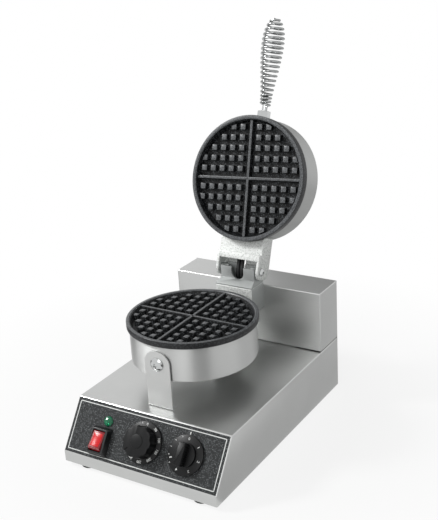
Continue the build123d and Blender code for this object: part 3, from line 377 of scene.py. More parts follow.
# Red polycarbonate rocker: light goes in, and a faint warm emission is painted glow for the light that
# comes back out.
RED_LENS = Translucent(
    "red_polycarbonate", "#e01c22", 0.0, 0.24, 0.04, (1.5, 1.5, 1.5), 0.06, 0.004, gloss=0.3,
    clearness=0.15, glow=0.2,
)
RED_FRAME = Translucent(
    "red_polycarbonate_frame", "#a5242a", 0.0, 0.22, 0.04, (1.5, 1.5, 1.5), 0.10, 0.004, clearness=0.2
)
# Green acrylic lamp lens: deep facets that flash light and dark.
GREEN_LENS = Translucent(
    "green_acrylic", "#12855a", 0.0, 0.10, 0.03, (1.5, 1.5, 1.5), 0.06, 0.003, clearness=0.35, glow=0.05
)
# Moulded rubber feet: matt and a little dusty.
RUBBER = Finish("moulded_rubber", "#242627", 0.0, 0.70, 0.06, (1.2, 1.2, 1.2), 0.20, 0.03)
# Glass-fibre sleeving, silicone coated: black with a faint weave.
SLEEVING = Finish("coated_glass_sleeving", "#1b1c1d", 0.0, 0.50, 0.08, (0.9, 0.9, 0.9), 0.30, 0.05)
# Mineral wool board: pale, soft and fibrous.
MINERAL_BOARD = Finish("mineral_wool_board", "#c9c2ae", 0.0, 0.95, 0.03, (6, 6, 0.8), 0.18, 0.10)
# Sheathed heater: steel that heat has darkened.
HEATER_SHEATH = Finish("heat_darkened_steel", "#6d6862", 1.0, 0.45, 0.10, (4, 4, 4), 0.20, 0.02)
# Steatite terminal block: off-white unglazed ceramic.
STEATITE = Finish("steatite_ceramic", "#d8d4c8", 0.0, 0.55, 0.05, (1.0, 1.0, 1.0), 0.06, 0.02)
# Neon lamp glass: clear, with a faint warm tint.
LAMP_GLASS = Translucent(
    "neon_lamp_glass", "#e9d9cf", 0.0, 0.06, 0.02, (4, 4, 4), 0.04, 0.002, clearness=0.8
)

CAD_FINISHES: dict[Finish, tuple[str, ...]] = {
    ZINC_PLATE: (
        "bottom_plate", "foot_screws", "rear_box_screws", "cover_screws", "neck_screws", "bracket_screws",
        "lower_element_clamp", "lower_tie_screws", "lead_conduit", "thermostat_body", "timer_body",
        "bush_nuts", "upper_element_clamp", "upper_tie_screws", "lid_hinge_screws", "handle_lock_nut",
        "thermostat_shaft", "timer_shaft",
    ),
    PRINTED_FILM: ("control_overlay",),
    BRUSHED_SHEET: ("rear_cover",),
    BLACK_NYLON: ("cord_gland", "gland_nut"),
    CHROMED_STEEL: ("hinge_washers",),
    HEATER_SHEATH: ("lower_element", "upper_element"),
    MINERAL_BOARD: ("lower_insulation", "upper_insulation"),
    STEATITE: ("terminal_block",),
    LAMP_GLASS: ("lamp_bulb",),
}


def dress_cad_nodes() -> None:
    """Gives every CAD node that stays in view its finish."""
    for finish, nodes in CAD_FINISHES.items():
        for name in nodes:
            for slot in frame["nodes"][name].material_slots:
                slot.material = finish.material()
            log.info("%s keeps its shape, in %s", name, finish.name)


# Modelling


def facing(x: float = 0, y: float = 0, z: float = 0) -> Test:
    """A test that picks the faces that face a direction."""
    way = Vector((x, y, z)).normalized()
    return lambda middle, normal: normal.dot(way) > 0.999


def level(z: float) -> Test:
    """A test that picks the edges at a height."""
    return lambda middle, way: abs(middle.z - z) < 0.05 * MM


def above(z: float) -> Test:
    """A test that picks what lies above a height."""
    return lambda middle, way: middle.z > z


def upright(middle: Vector, way: Vector) -> bool:
    """A test that picks the edges along Z and the faces across it."""
    return abs(way.z) > 0.9


def linked(name: str, data: bpy.types.ID) -> bpy.types.Object:
    """Puts a new object in the scene.

    Args:
        name: The object's name.
        data: Its mesh, curve, camera or light.

    Returns:
        The object.
    """
    made = bpy.data.objects.new(name, data)
    bpy.context.scene.collection.objects.link(made)
    return made


class Piece:
    """A mesh that is shaped with Blender's own operators."""

    def __init__(self, name: str, obj: bpy.types.Object | None = None) -> None:
        """Takes an object, or the primitive that has just been added, and names it."""
        self.obj: bpy.types.Object = obj or bpy.context.object
        self.obj.name = name

    @staticmethod
    def clear() -> None:
        """Leaves edit mode and deselects everything."""
        if bpy.context.object and bpy.context.object.mode != "OBJECT":
            bpy.ops.object.mode_set(mode="OBJECT")
        bpy.ops.object.select_all(action="DESELECT")

    @classmethod
    def cylinder(cls, name: str, radius: float, low: float, high: float, sides: int = 64) -> "Piece":
        """A cylinder about Z between two heights.

        Args:
            name: The piece's name.
            radius: Its radius.
            low: The height of its lower end.
            high: The height of its upper end.
            sides: How many sides stand for its round wall.

        Returns:
            The cylinder.
        """
        cls.clear()
        bpy.ops.mesh.primitive_cylinder_add(
            radius=radius, depth=high - low, location=(0, 0, (low + high) / 2), vertices=sides
        )
        return cls(name).settled()

    @classmethod
    def box(cls, name: str, low: Place, high: Place) -> "Piece":
        """A box between its lowest and highest corners.

        Args:
            name: The piece's name.
            low: The lowest corner.
            high: The highest corner.

        Returns:
            The box.
        """
        cls.clear()
        middle = (Vector(low) + Vector(high)) / 2
        bpy.ops.mesh.primitive_cube_add(size=1, location=middle, scale=Vector(high) - Vector(low))
        return cls(name).settled()

    @classmethod
    def ball(cls, name: str, radius: float, middle: Place, sides: int = 48) -> "Piece":
        """A ball with its poles on Z.

        Args:
            name: The piece's name.
            radius: Its radius.
            middle: Where its middle is.
            sides: How many segments and rings it has.

        Returns:
            The ball.
        """
        cls.clear()
        bpy.ops.mesh.primitive_uv_sphere_add(
            radius=radius, location=middle, segments=sides, ring_count=sides
        )
        return cls(name).settled()

    @classmethod
    def tube(cls, name: str, line: Sequence[Place], radius: float, run: Run = Run.STRAIGHT) -> "Piece":
        """A round bar along a line of points.

        Args:
            name: The piece's name.
            line: The points that the bar follows.
            radius: The bar's radius.
            run: How the bar follows them.

        Returns:
            The bar as a mesh with closed ends.
        """
        cls.clear()
        curve = bpy.data.curves.new(name, "CURVE")
        curve.dimensions = "3D"
        spline = curve.splines.new(run.value)
        spline.points.add(len(line) - 1)
        for point, where in zip(spline.points, line):
            point.co = (*where, 1)
        if run is Run.SMOOTH:
            spline.order_u = 3
            spline.use_endpoint_u = True
            spline.resolution_u = 8
        curve.bevel_depth = radius
        curve.bevel_resolution = 3
        curve.use_fill_caps = True
        bar = cls(name, linked(name, curve))
        bar.leave()
        bpy.ops.object.convert(target="MESH")
        return bar.merged()

    @classmethod
    def lettering(cls, name: str, words: str, size: float, depth: float) -> "Piece":
        """Thin raised characters that lie about the origin and face up Z.

        Args:
            name: The piece's name.
            words: What they say.
            size: The height of the type.
            depth: How far they reach above and below the origin.

        Returns:
            The characters as one piece.
        """
        cls.clear()
        bpy.ops.object.text_add()
        text = bpy.context.object.data
        text.body = words
        text.size = size
        text.extrude = depth
        text.offset = size / 40
        text.align_x = text.align_y = "CENTER"
        text.resolution_u = 3
        bpy.ops.object.convert(target="MESH")
        return cls(name).merged()

    @classmethod
    def copy_of_node(cls, name: str, node: str) -> "Piece":
        """A copy of a CAD node's mesh with its loose triangles merged.

        Args:
            name: The piece's name.
            node: The CAD node.

        Returns:
            The copy.
        """
        piece = cls(name, linked(name, frame["nodes"][node].data.copy()))
        piece.leave()
        if piece.obj.data.has_custom_normals:
            bpy.ops.mesh.customdata_custom_splitnormals_clear()
        piece.merged()
        bpy.ops.mesh.dissolve_limited(angle_limit=math.radians(0.5))
        return piece

    def enter(self) -> None:
        """Goes into edit mode on this piece alone."""
        if bpy.context.object == self.obj and self.obj.mode == "EDIT":
            return
        self.leave()
        bpy.ops.object.mode_set(mode="EDIT")

    def leave(self) -> None:
        """Goes back to object mode with only this piece selected."""
        self.clear()
        self.obj.select_set(True)
        bpy.context.view_layer.objects.active = self.obj

    def settled(self) -> "Piece":
        """Puts the object's own place and size into its mesh.

        Returns:
            The piece itself.
        """
        self.leave()
        bpy.ops.object.transform_apply(location=True, rotation=True, scale=True)
        return self

    def merged(self) -> "Piece":
        """Merges doubled vertices and turns every face outwards.

        Returns:
            The piece itself.
        """
        self.enter()
        bpy.ops.mesh.select_all(action="SELECT")
        bpy.ops.mesh.remove_doubles(threshold=0.002 * MM)
        bpy.ops.mesh.normals_make_consistent(inside=False)
        return self

    def pick(self, part: Part, test: Test, sharper: float = 0.0) -> "Piece":
        """Selects faces or edges by their place and direction.

        Args:
            part: Faces or edges.
            test: Takes the middle, and the face's normal or the edge's direction.
            sharper: Edges where the surface turns by less than these degrees are left out.

        Returns:
            The piece itself.
        """
        self.enter()
        bpy.ops.mesh.select_mode(type=part.value)
        bpy.ops.mesh.select_all(action="DESELECT")
        mesh = bmesh.from_edit_mesh(self.obj.data)
        if part is Part.FACE:
            for face in mesh.faces:
                face.select_set(test(face.calc_center_median(), face.normal))
        else:
            for edge in mesh.edges:
                start, end = (corner.co for corner in edge.verts)
                sharp = not sharper or edge.calc_face_angle(0.0) > math.radians(sharper)
                edge.select_set(sharp and test((start + end) / 2, (end - start).normalized()))
        bmesh.update_edit_mesh(self.obj.data)
        return self

    def faces(self, test: Test) -> "Piece":
        """Selects faces."""
        return self.pick(Part.FACE, test)

    def edges(self, test: Test, sharper: float = 0.0) -> "Piece":
        """Selects edges, all that pass the test or only the sharper ones."""
        return self.pick(Part.EDGE, test, sharper)

    def inset(self, width: float) -> "Piece":
        """Insets the selected faces."""
        bpy.ops.mesh.inset(thickness=width)
        return self

    def extrude(self, x: float = 0, y: float = 0, z: float = 0) -> "Piece":
        """Extrudes the selected faces."""
        bpy.ops.mesh.extrude_region_move(TRANSFORM_OT_translate={"value": (x, y, z)})
        return self

    def scale(self, x: float, y: float, z: float = 1, about: Place = (0, 0, 0)) -> "Piece":
        """Scales what is selected about a point."""
        bpy.ops.transform.resize(value=(x, y, z), center_override=about)
        return self

    def move(self, x: float = 0, y: float = 0, z: float = 0) -> "Piece":
        """Moves what is selected."""
        bpy.ops.transform.translate(value=(x, y, z))
        return self

    def bevel(self, width: float, steps: int = 3) -> "Piece":
        """Rounds the selected edges."""
        bpy.ops.mesh.bevel(offset=width, segments=steps, affect="EDGES", profile=0.5)
        return self

    def bridged(self) -> "Piece":
        """Takes the selected faces out and joins the two openings that they leave."""
        bpy.ops.mesh.bridge_edge_loops()
        return self

    def delete(self) -> "Piece":
        """Deletes the selected faces."""
        bpy.ops.mesh.delete(type="FACE")
        return self

    def split(self, point: Place, way: Place, **settings: bool) -> "Piece":
        """Draws a line of edges where a plane crosses the piece.

        Args:
            point: A point of the plane.
            way: The plane's normal.
            settings: What else the operator is told.

        Returns:
            The piece itself.
        """
        self.enter()
        bpy.ops.mesh.select_all(action="SELECT")
        bpy.ops.mesh.bisect(plane_co=point, plane_no=way, **settings)
        return self

    def cut(self, point: Place, way: Place) -> "Piece":
        """Cuts off what lies beyond a plane and closes the cut."""
        return self.split(point, way, use_fill=True, clear_outer=True)

    def modifier(self, kind: str, **settings: object) -> "Piece":
        """Adds a modifier with its settings and applies it.

        Args:
            kind: The modifier's type.
            settings: The modifier's own settings.

        Returns:
            The piece itself.
        """
        self.leave()
        made = self.obj.modifiers.new(kind.lower(), kind)
        for name, value in settings.items():
            setattr(made, name, value)
        bpy.ops.object.modifier_apply(modifier=made.name)
        return self

    def divided(self, other: "Piece", shared: Shared) -> "Piece":
        """Divides the piece by another one's shape, and uses that one up.

        Args:
            other: The piece that divides it.
            shared: What becomes of the part inside the other.

        Returns:
            The piece itself.
        """
        other.leave()
        self.modifier("BOOLEAN", operation=shared.value, solver="EXACT", object=other.obj)
        bpy.data.objects.remove(other.obj)
        return self

    def less(self, cutter: "Piece") -> "Piece":
        """Cuts another piece's shape out of this one."""
        return self.divided(cutter, Shared.REMOVED)

    def within(self, other: "Piece") -> "Piece":
        """Keeps only what lies inside another piece."""
        return self.divided(other, Shared.KEPT)

    def walled(self, thickness: float) -> "Piece":
        """Gives an open shell its wall, inwards."""
        return self.modifier("SOLIDIFY", thickness=thickness, offset=-1.0)

    def copied(self, seats: Iterable[Matrix]) -> "Piece":
        """Sets a copy down at each seat, joins them and removes the pattern piece.

        Args:
            seats: Where each copy goes.

        Returns:
            All the copies as one piece.
        """
        self.leave()
        name, copies = self.obj.name, []
        for seat in seats:
            copy = Piece(name, linked(name, self.obj.data.copy()))
            copy.obj.data.transform(seat)
            copies.append(copy)
        bpy.data.objects.remove(self.obj)
        first, *others = copies
        first.joined(*others)
        return Piece(name)

    def joined(self, *others: "Piece") -> "Piece":
        """Joins other pieces into this one.

        Args:
            others: The pieces to join.

        Returns:
            The piece itself.
        """
        self.leave()
        for other in others:
            other.obj.select_set(True)
        bpy.ops.object.join()
        return self

    def seated(self, seat: Matrix) -> "Piece":
        """Sets the piece down in its place.

        Args:
            seat: Where it goes.

        Returns:
            The piece itself.
        """
        self.leave()
        self.obj.matrix_world = seat
        return self.settled()

    def partly_refinished(self, finish: Finish, back: Matrix, test: Test) -> "Piece":
        """Gives some of the finished piece's faces another finish; the plates take painted shade and a
        painted highlight this way.

        Args:
            finish: The other finish.
            back: Turns the finished piece back to where the test applies.
            test: Picks the faces.

        Returns:
            The piece itself.
        """
        self.obj.data.materials.append(finish.material())
        straight, last = back.to_3x3(), len(self.obj.data.materials) - 1
        for face in self.obj.data.polygons:
            if test(back @ face.center, straight @ face.normal):
                face.material_index = last
        return self

    def dressed(self, finish: Finish, body: Body, slot: str, *nodes: str, angle: float = 32) -> "Piece":
        """Shades the finished piece, gives it its finish and sets it on its body.

        Args:
            finish: What it is made of.
            body: The body it rides on.
            slot: The record's material slot; it is not used.
            nodes: The CAD nodes that it stands for.
            angle: Surfaces that turn by less than this are shaded smooth.

        Returns:
            The piece itself.
        """
        self.leave()
        bpy.ops.object.shade_smooth_by_angle(angle=math.radians(angle))
        self.obj.data.materials.clear()
        self.obj.data.materials.append(finish.material())
        self.obj.data.name = self.obj.name
        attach(self.obj, body.value)
        if nodes:
            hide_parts(*nodes)
        log.info("%s: %d faces, in %s", self.obj.name, len(self.obj.data.polygons), finish.name)
        return self


# Base, rear box and neck


@dataclass
class Housing:
    """Folded sheet base with its sloped front, and the box across its rear."""

    width: float = 250 * MM
    rear: float = 363.8 * MM
    bottom: float = 6 * MM
    lip_top: float = 21.2 * MM
    top: float = 86 * MM
    panel_run: float = 46 * MM
    sheet: float = 1.2 * MM
    fold: float = 1.8 * MM
    flange: float = 36 * MM
    box_front: float = 307.3 * MM
    box_top: float = 181 * MM
    seam: float = 1.2 * MM
    neck_half: float = 31 * MM
    neck_front: float = 271 * MM
    neck_bottom: float = 144 * MM
    neck_top: float = 186 * MM
    neck_edge: float = 1.4 * MM
    foot_radius: float = 12.2 * MM
    foot_taper: float = 0.94
    foot_edge: float = 0.6 * MM
    foot_rim: float = 4.0 * MM
    foot_well: float = 3.2 * MM
    foot_x: float = 93 * MM
    foot_ys: tuple[float, float] = (16 * MM, 347.8 * MM)

    def build(self) -> None:
        """Builds and dresses all of it."""
        self.base()
        self.rear_box()
        self.neck()
        self.feet()

    def base(self) -> None:
        """Front lip, sloped panel, top and sides, with a flange turned in below."""
        half = self.width / 2
        shell = Piece.box("base_shell", (-half, 0, self.bottom), (half, self.rear, self.top))
        slope = (0, -(self.top - self.lip_top), self.panel_run)
        shell.cut((0, 0, self.lip_top), slope)
        shell.merged()
        self.fold_sheet(shell, self.bottom, self.flange)
        shell.seated(place(0, 0, 0)).dressed(BRUSHED_SHEET, Body.BASE, "brushed_steel", "base_housing")

    def rear_box(self) -> None:
        """Box across the rear, open below and behind."""
        half = self.width / 2
        low = (-half, self.box_front, self.top + self.seam)
        shell = Piece.box("rear_box_shell", low, (half, self.rear, self.box_top))
        self.fold_sheet(shell, self.top)
        shell.seated(place(0, 0, 0)).dressed(BRUSHED_SHEET, Body.BASE, "brushed_steel", "rear_box")

    def fold_sheet(self, shell: Piece, bottom: float, flange: float = 0.0) -> None:
        """Rounds a block's folds, opens it below and behind, and gives the sheet its thickness.

        Args:
            shell: The block.
            bottom: Only what lies more than a millimetre above this is folded.
            flange: How far the sheet is turned in below.
        """
        shell.edges(lambda at, way: at.z > bottom + MM and at.y < self.rear - MM).bevel(self.fold, 4)
        shell.faces(facing(z=-1))
        if flange:
            shell.inset(flange)
        shell.delete()
        shell.faces(facing(y=1)).delete()
        shell.walled(self.sheet)

    def neck(self) -> None:
        """Cast block that carries the hinge in front of the rear box, with smoother sides drawn darker as
        painted shade.
        """
        low = (-self.neck_half, self.neck_front, self.neck_bottom)
        block = Piece.box("hinge_neck", low, (self.neck_half, self.box_front, self.neck_top))
        block.edges(lambda at, way: at.y < self.box_front - MM).bevel(self.neck_edge, 3)
        block.seated(place(0, 0, 0)).dressed(TUMBLED_CASTING, Body.BASE, "cast_hinge", "neck")
        # The sides take the sand-cast skin, smoother and darker; the darker tone is painted shade.
        block.partly_refinished(SAND_CASTING, Matrix.Identity(4), lambda at, way: abs(way.x) > 0.9)

    def feet(self) -> None:
        """Four tapered rubber feet with sunk screw seats."""
        foot = Piece.cylinder("rubber_feet", self.foot_radius, 0, self.bottom, 40)
        foot.faces(facing(z=1)).scale(self.foot_taper, self.foot_taper)
        foot.edges(level(0)).bevel(self.foot_edge, 3)
        foot.faces(facing(z=-1)).inset(self.foot_rim).extrude(z=self.foot_well)
        seats = [place(x, y, 0) for x in (-self.foot_x, self.foot_x) for y in self.foot_ys]
        foot.copied(seats).dressed(RUBBER, Body.BASE, "foot_rubber", "feet")


# Lower pan and lid


@dataclass
class CookingPlate:
    """Cast plate with a rim, a recess, crossing dividers and rows of studs.

    The crest is how far the tops of the dividers and studs lie below the rim, and turn is how
    far the pattern is turned from straight, in degrees. Dividers and studs are sunk a little
    into the floor, and dividers run into the recess's wall.
    """

    name: str
    node: str
    body: Body
    band: float
    spigot_radius: float
    crest: float
    stud_top: float
    turn: float = 0.0
    rim_radius: float = 93.4 * MM
    land_radius: float = 89.2 * MM
    recess_radius: float = 87.6 * MM
    floor_radius: float = 84.4 * MM
    lip_drop: float = 1.2 * MM
    back: float = 20.5 * MM
    stud_height: float = 7 * MM
    divider_foot: float = 6.2 * MM
    divider_top: float = 4 * MM
    stud_draft: float = 0.5 * MM
    stud_pitch: float = 15.6 * MM
    first_stud: float = 13.9 * MM
    studs_per_row: int = 5
    stud_reach: float = 83 * MM
    rim_edge: float = 0.9 * MM
    divider_edge: float = 0.6 * MM
    stud_edge: float = 0.35 * MM
    sunk: float = 0.3 * MM
    run_in: float = 0.4 * MM
    highlight_depth: float = 0.4 * MM
    sides: int = 144

    @property
    def depth(self) -> float:
        """Depth of the recess below the rim."""
        return self.crest + self.stud_height

    def build(self, seat: Matrix) -> None:
        """Builds the plate with its face up at the origin, and sets it down.

        Args:
            seat: Where the middle of its face goes, with Z out of the face.
        """
        seat = seat @ turned("Z", self.turn)
        plate = self.body_of_plate()
        plate.joined(self.divider(0), self.divider(90), self.studs())
        plate.seated(seat).dressed(NON_STICK, self.body, "cast_plate", self.node)
        # The recess takes a blacker coat as painted shade.
        plate.partly_refinished(RECESS_PAINTED_SHADE, seat.inverted(), self.is_recess)
        # Every crest takes a greyer coat as a painted highlight.
        plate.partly_refinished(CREST_PAINTED_HIGHLIGHT, seat.inverted(), self.is_crest)

    def is_recess(self, at: Vector, way: Vector) -> bool:
        """Whether a face is inside the recess."""
        return at.to_2d().length < self.land_radius and -self.depth - MM < at.z < -self.lip_drop / 2

    def is_crest(self, at: Vector, way: Vector) -> bool:
        """Whether a face is the top of a stud, a divider or the rim."""
        return way.z > 0.7 and at.z > -self.crest - self.highlight_depth

    def body_of_plate(self) -> Piece:
        """Rim, recess and back.

        Returns:
            The plate without its pattern.
        """
        plate = Piece.cylinder(self.name, self.rim_radius, -self.band, 0, self.sides)
        plate.faces(facing(z=1)).inset(self.rim_radius - self.land_radius)
        drop = self.recess_radius / self.land_radius
        plate.extrude(z=-self.lip_drop).scale(drop, drop)
        draft = self.floor_radius / self.recess_radius
        plate.extrude(z=self.lip_drop - self.depth).scale(draft, draft)
        shoulder = self.rim_radius - self.spigot_radius
        plate.faces(facing(z=-1)).inset(shoulder).extrude(z=self.band - self.back)
        rim = self.rim_radius - MM
        plate.edges(lambda at, way: at.to_2d().length > rim and abs(way.z) < 0.5).bevel(self.rim_edge, 3)
        return plate

    def divider(self, angle: float) -> Piece:
        """One bar across the recess, narrower at its top.

        Args:
            angle: Its turn about Z in degrees.

        Returns:
            The bar.
        """
        half, reach = self.divider_foot / 2, self.recess_radius + self.run_in
        bar = Piece.box("divider", (-reach, -half, -self.depth - self.sunk), (reach, half, -self.crest))
        bar.faces(facing(z=1)).scale(1, self.divider_top / self.divider_foot)
        bar.edges(lambda at, way: at.z > -self.crest - MM and abs(way.x) > 0.9).bevel(self.divider_edge, 2)
        return bar.seated(turned("Z", angle))

    def studs(self) -> Piece:
        """All the studs, from one that is tapered and rounded; the recess's wall cuts the outer ones.

        Returns:
            The studs as one piece.
        """
        half = self.stud_top / 2 + self.stud_draft
        stud = Piece.box("studs", (-half, -half, -self.depth - self.sunk), (half, half, -self.crest))
        taper = 1 - self.stud_draft / half
        stud.faces(facing(z=1)).scale(taper, taper)
        stud.edges(above(-self.depth + MM)).bevel(self.stud_edge, 2)
        steps = [self.first_stud + self.stud_pitch * i for i in range(self.studs_per_row)]
        spots = [(x, y) for x in steps for y in steps if math.hypot(x, y) <= self.stud_reach]
        quarters = [(right, far) for right in (-1, 1) for far in (-1, 1)]
        studs = stud.copied(
            Matrix.Translation((right * x, far * y, 0)) for x, y in spots for right, far in quarters
        )
        low = -self.depth - MM
        return studs.within(Piece.cylinder("recess", self.floor_radius, low, MM, self.sides))


@dataclass
class Drum:
    """Spun steel cup with a rounded closed end, behind a cooking plate."""

    name: str
    node: str
    body: Body
    radius: float
    height: float
    corner: float
    finish: Finish
    sheet: float = 1 * MM
    sides: int = 144

    def build(self, seat: Matrix) -> None:
        """Builds the cup standing on its closed end at the origin, and sets it down.

        Args:
            seat: Where the middle of its closed end goes, with Z into the cup.
        """
        cup = Piece.cylinder(self.name, self.radius, 0, self.height, self.sides)
        cup.edges(level(0)).bevel(self.corner, 6)
        cup.faces(facing(z=1)).delete()
        cup.walled(self.sheet)
        cup.seated(seat).dressed(self.finish, self.body, "brushed_steel", self.node)


@dataclass
class DomeBolt:
    """Dome-headed bolt with its shank and a cross recess, whose turn is in degrees."""

    name: str
    radius: float
    height: float
    rim: float
    shank_radius: float
    shank_length: float
    recess: float
    recess_width: float
    recess_depth: float
    recess_turn: float = 20.0

    def build(self) -> Piece:
        """Builds the bolt with the seat of its head at the origin and its head up.

        Returns:
            The bolt.
        """
        crown = self.height - self.rim
        ball = (self.radius**2 + crown**2) / (2 * crown)
        bolt = Piece.ball(self.name, ball, (0, 0, self.height - ball))
        bolt.cut((0, 0, self.rim), (0, 0, -1))
        bolt.faces(facing(z=-1)).extrude(z=-self.rim)
        bolt.inset(self.radius - self.shank_radius).extrude(z=-self.shank_length)
        half, wide = self.recess / 2, self.recess_width / 2
        for turn in (0, 90):
            low = (-half, -wide, self.height - self.recess_depth)
            slot = Piece.box("recess", low, (half, wide, 2 * self.height))
            slot.faces(facing(z=-1)).scale(0.5, 1)
            bolt.less(slot.seated(turned("Z", turn + self.recess_turn)))
        return bolt


@dataclass
class Bracket:
    """Upright strips with rounded tops and turned feet that hold the pan, with their bolts."""

    pan_y: float
    bottom: float
    half_width: float = 20 * MM
    sheet: float = 2 * MM
    front: float = 65.9 * MM
    height: float = 84.6 * MM
    top_round: float = 18 * MM
    bend: float = 2.2 * MM
    foot: float = 12.4 * MM
    bolt_rise: float = 65.8 * MM

    def build(self) -> None:
        """Builds both brackets and both bolts."""
        rear = place(0, 2 * self.pan_y, 0) @ turned("Z", 180)
        for name, seat in (("front_bracket", place(0, 0, 0)), ("rear_bracket", rear)):
            strip = self.strip("pan_" + name)
            strip.seated(seat).dressed(BRACKET_SHEET, Body.BASE, "brushed_steel", name)
        bolt = DomeBolt(
            "pan_bolt_heads", radius=10 * MM, height=5 * MM, rim=1.2 * MM, shank_radius=3 * MM,
            shank_length=9 * MM, recess=10 * MM, recess_width=2.2 * MM, recess_depth=1.75 * MM,
        )
        height = self.bottom + self.bolt_rise
        seats = (
            place(0, self.front, height) @ turned("X", 90),
            place(0, 2 * self.pan_y - self.front, height) @ turned("X", -90),
        )
        bolt.build().copied(seats).dressed(CHROMED_STEEL, Body.BASE, "polished_steel", "pan_bolts")

    def strip(self, name: str) -> Piece:
        """One strip: the foot is drawn out of the upright, and the bend and the top are rounded.

        Args:
            name: The piece's name.

        Returns:
            The strip.
        """
        back, top = self.front + self.sheet, self.bottom + self.height
        strip = Piece.box(name, (-self.half_width, self.front, self.bottom), (self.half_width, back, top))
        foot_top = self.bottom + self.sheet
        strip.split((0, 0, foot_top), (0, 0, 1))
        strip.faces(lambda at, way: way.y > 0.9 and at.z < foot_top).extrude(y=self.foot - self.sheet)
        strip.edges(lambda at, way: abs(way.y) > 0.9 and at.z > top - MM).bevel(self.top_round, 14)
        fold = Vector((0, self.front, self.bottom))
        strip.edges(lambda at, way: (at - fold).length < 0.1 * MM and abs(way.x) > 0.9).bevel(self.bend, 4)
        return strip


# Hinge, leads and handle


@dataclass
class HingeCastings:
    """The fixed casting, the lid's casting and the bolts on the hinge axis, measured from that axis.

    Edges that turn by more than the sharp angle, in degrees, are rounded.
    """

    edge: float = 0.7 * MM
    sharp: float = 35.0
    seat_x: float = 36.3 * MM
    wall_start: tuple[float, float, float] = (-32.5 * MM, 10.4 * MM, 4.8 * MM)
    wall_end: tuple[float, float, float] = (32.5 * MM, 13.4 * MM, 20 * MM)
    notch: tuple[float, float] = (-9.6 * MM, 4.0 * MM)

    def build(self) -> None:
        """Rounds the sharp edges of both castings, and adds the back wall and the bolts."""
        pieces = (
            ("hinge_foot_casting", "lower_hinge", Body.BASE, SAND_CASTING),
            ("lid_arm_casting", "lid_hinge", Body.LID, TUMBLED_CASTING),
        )
        for name, node, body, finish in pieces:
            casting = Piece.copy_of_node(name, node)
            limit = math.radians(self.sharp)
            casting.modifier("BEVEL", width=self.edge, segments=2, limit_method="ANGLE", angle_limit=limit)
            if body is Body.LID:
                casting.joined(self.back_wall())
            casting.dressed(finish, body, "cast_hinge", node)
        bolt = DomeBolt(
            "hinge_bolt_heads", radius=6 * MM, height=3.6 * MM, rim=0.8 * MM, shank_radius=2.9 * MM,
            shank_length=16 * MM, recess=6 * MM, recess_width=1.4 * MM, recess_depth=1.26 * MM,
        )
        ends = [(Vector((side * self.seat_x, 0, 0)), side * 90) for side in (-1, 1)]
        seats = [Matrix.Translation(HINGE + end) @ turned("Y", turn) for end, turn in ends]
        bolt.build().copied(seats).dressed(CHROMED_STEEL, Body.BASE, "polished_steel", "hinge_bolts")

    def back_wall(self) -> Piece:
        """The low wall between the arm's cheeks, with a notch that clears the leads.

        Returns:
            The wall.
        """
        wall = Piece.box("back_wall", self.wall_start, self.wall_end)
        low, high = self.notch
        start = (low, self.wall_start[1] - MM, self.wall_start[2] - MM)
        end = (high, self.wall_end[1] + MM, self.wall_end[2] + MM)
        wall.less(Piece.box("lead_notch", start, end))
        return wall.seated(Matrix.Translation(HINGE))


@dataclass
class SleevedLeads:
    """Two black leads that rise through the neck, cross the hinge and enter the lid.

    The fixed way is Y and Z of each point in the base, in millimetres. The way in the lid is a
    straight line, for the closed lid, that runs on a little beyond its end. The bend's start and
    end are measured from the hinge axis, and are not used.
    """

    radius: float = 3 * MM
    xs: tuple[float, float] = (-6.0 * MM, 0.4 * MM)
    fixed_way: tuple[tuple[float, float], ...] = (
        (335.0, 31.0), (335.0, 90.0), (333.0, 152.0), (322.0, 164.0),
        (306.0, 168.0), (297.0, 176.0), (296.1, 188.0), (296.1, 199.0),
    )
    lid_start: tuple[float, float] = (289.6 * MM, 209.8 * MM)
    lid_end: tuple[float, float] = (248.4 * MM, 222.3 * MM)
    lid_shift: float = -6.2 * MM
    run_on: float = 8 * MM
    bend_start: tuple[float, float, float] = (0, 0, -8 * MM)
    bend_end: tuple[float, float, float] = (0, 4 * MM, 9 * MM)

    def build(self) -> None:
        """Builds one sleeve for each lead, which bends where the lid turns."""
        for side, x in zip(("left", "right"), self.xs):
            points = [place(0, 0, 0) @ Vector((x, y * MM, z * MM)) for y, z in self.fixed_way]
            near, far = Vector((x, *self.lid_start)), Vector((x + self.lid_shift, *self.lid_end))
            beyond = far + (far - near).normalized() * self.run_on
            seat = on_lid(place(0, 0, 0))
            points += [seat @ point for point in (near, near.lerp(far, 0.5), far, beyond)]
            sleeve = Piece.tube(f"lead_sleeve_{side}", points, self.radius, Run.SMOOTH)
            nodes = ("base_leads", "lid_leads")
            sleeve.dressed(SLEEVING, Body.BASE, "sleeve_rubber", *nodes, angle=60)
            sleeve.obj.parent = None
            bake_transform(sleeve.obj)


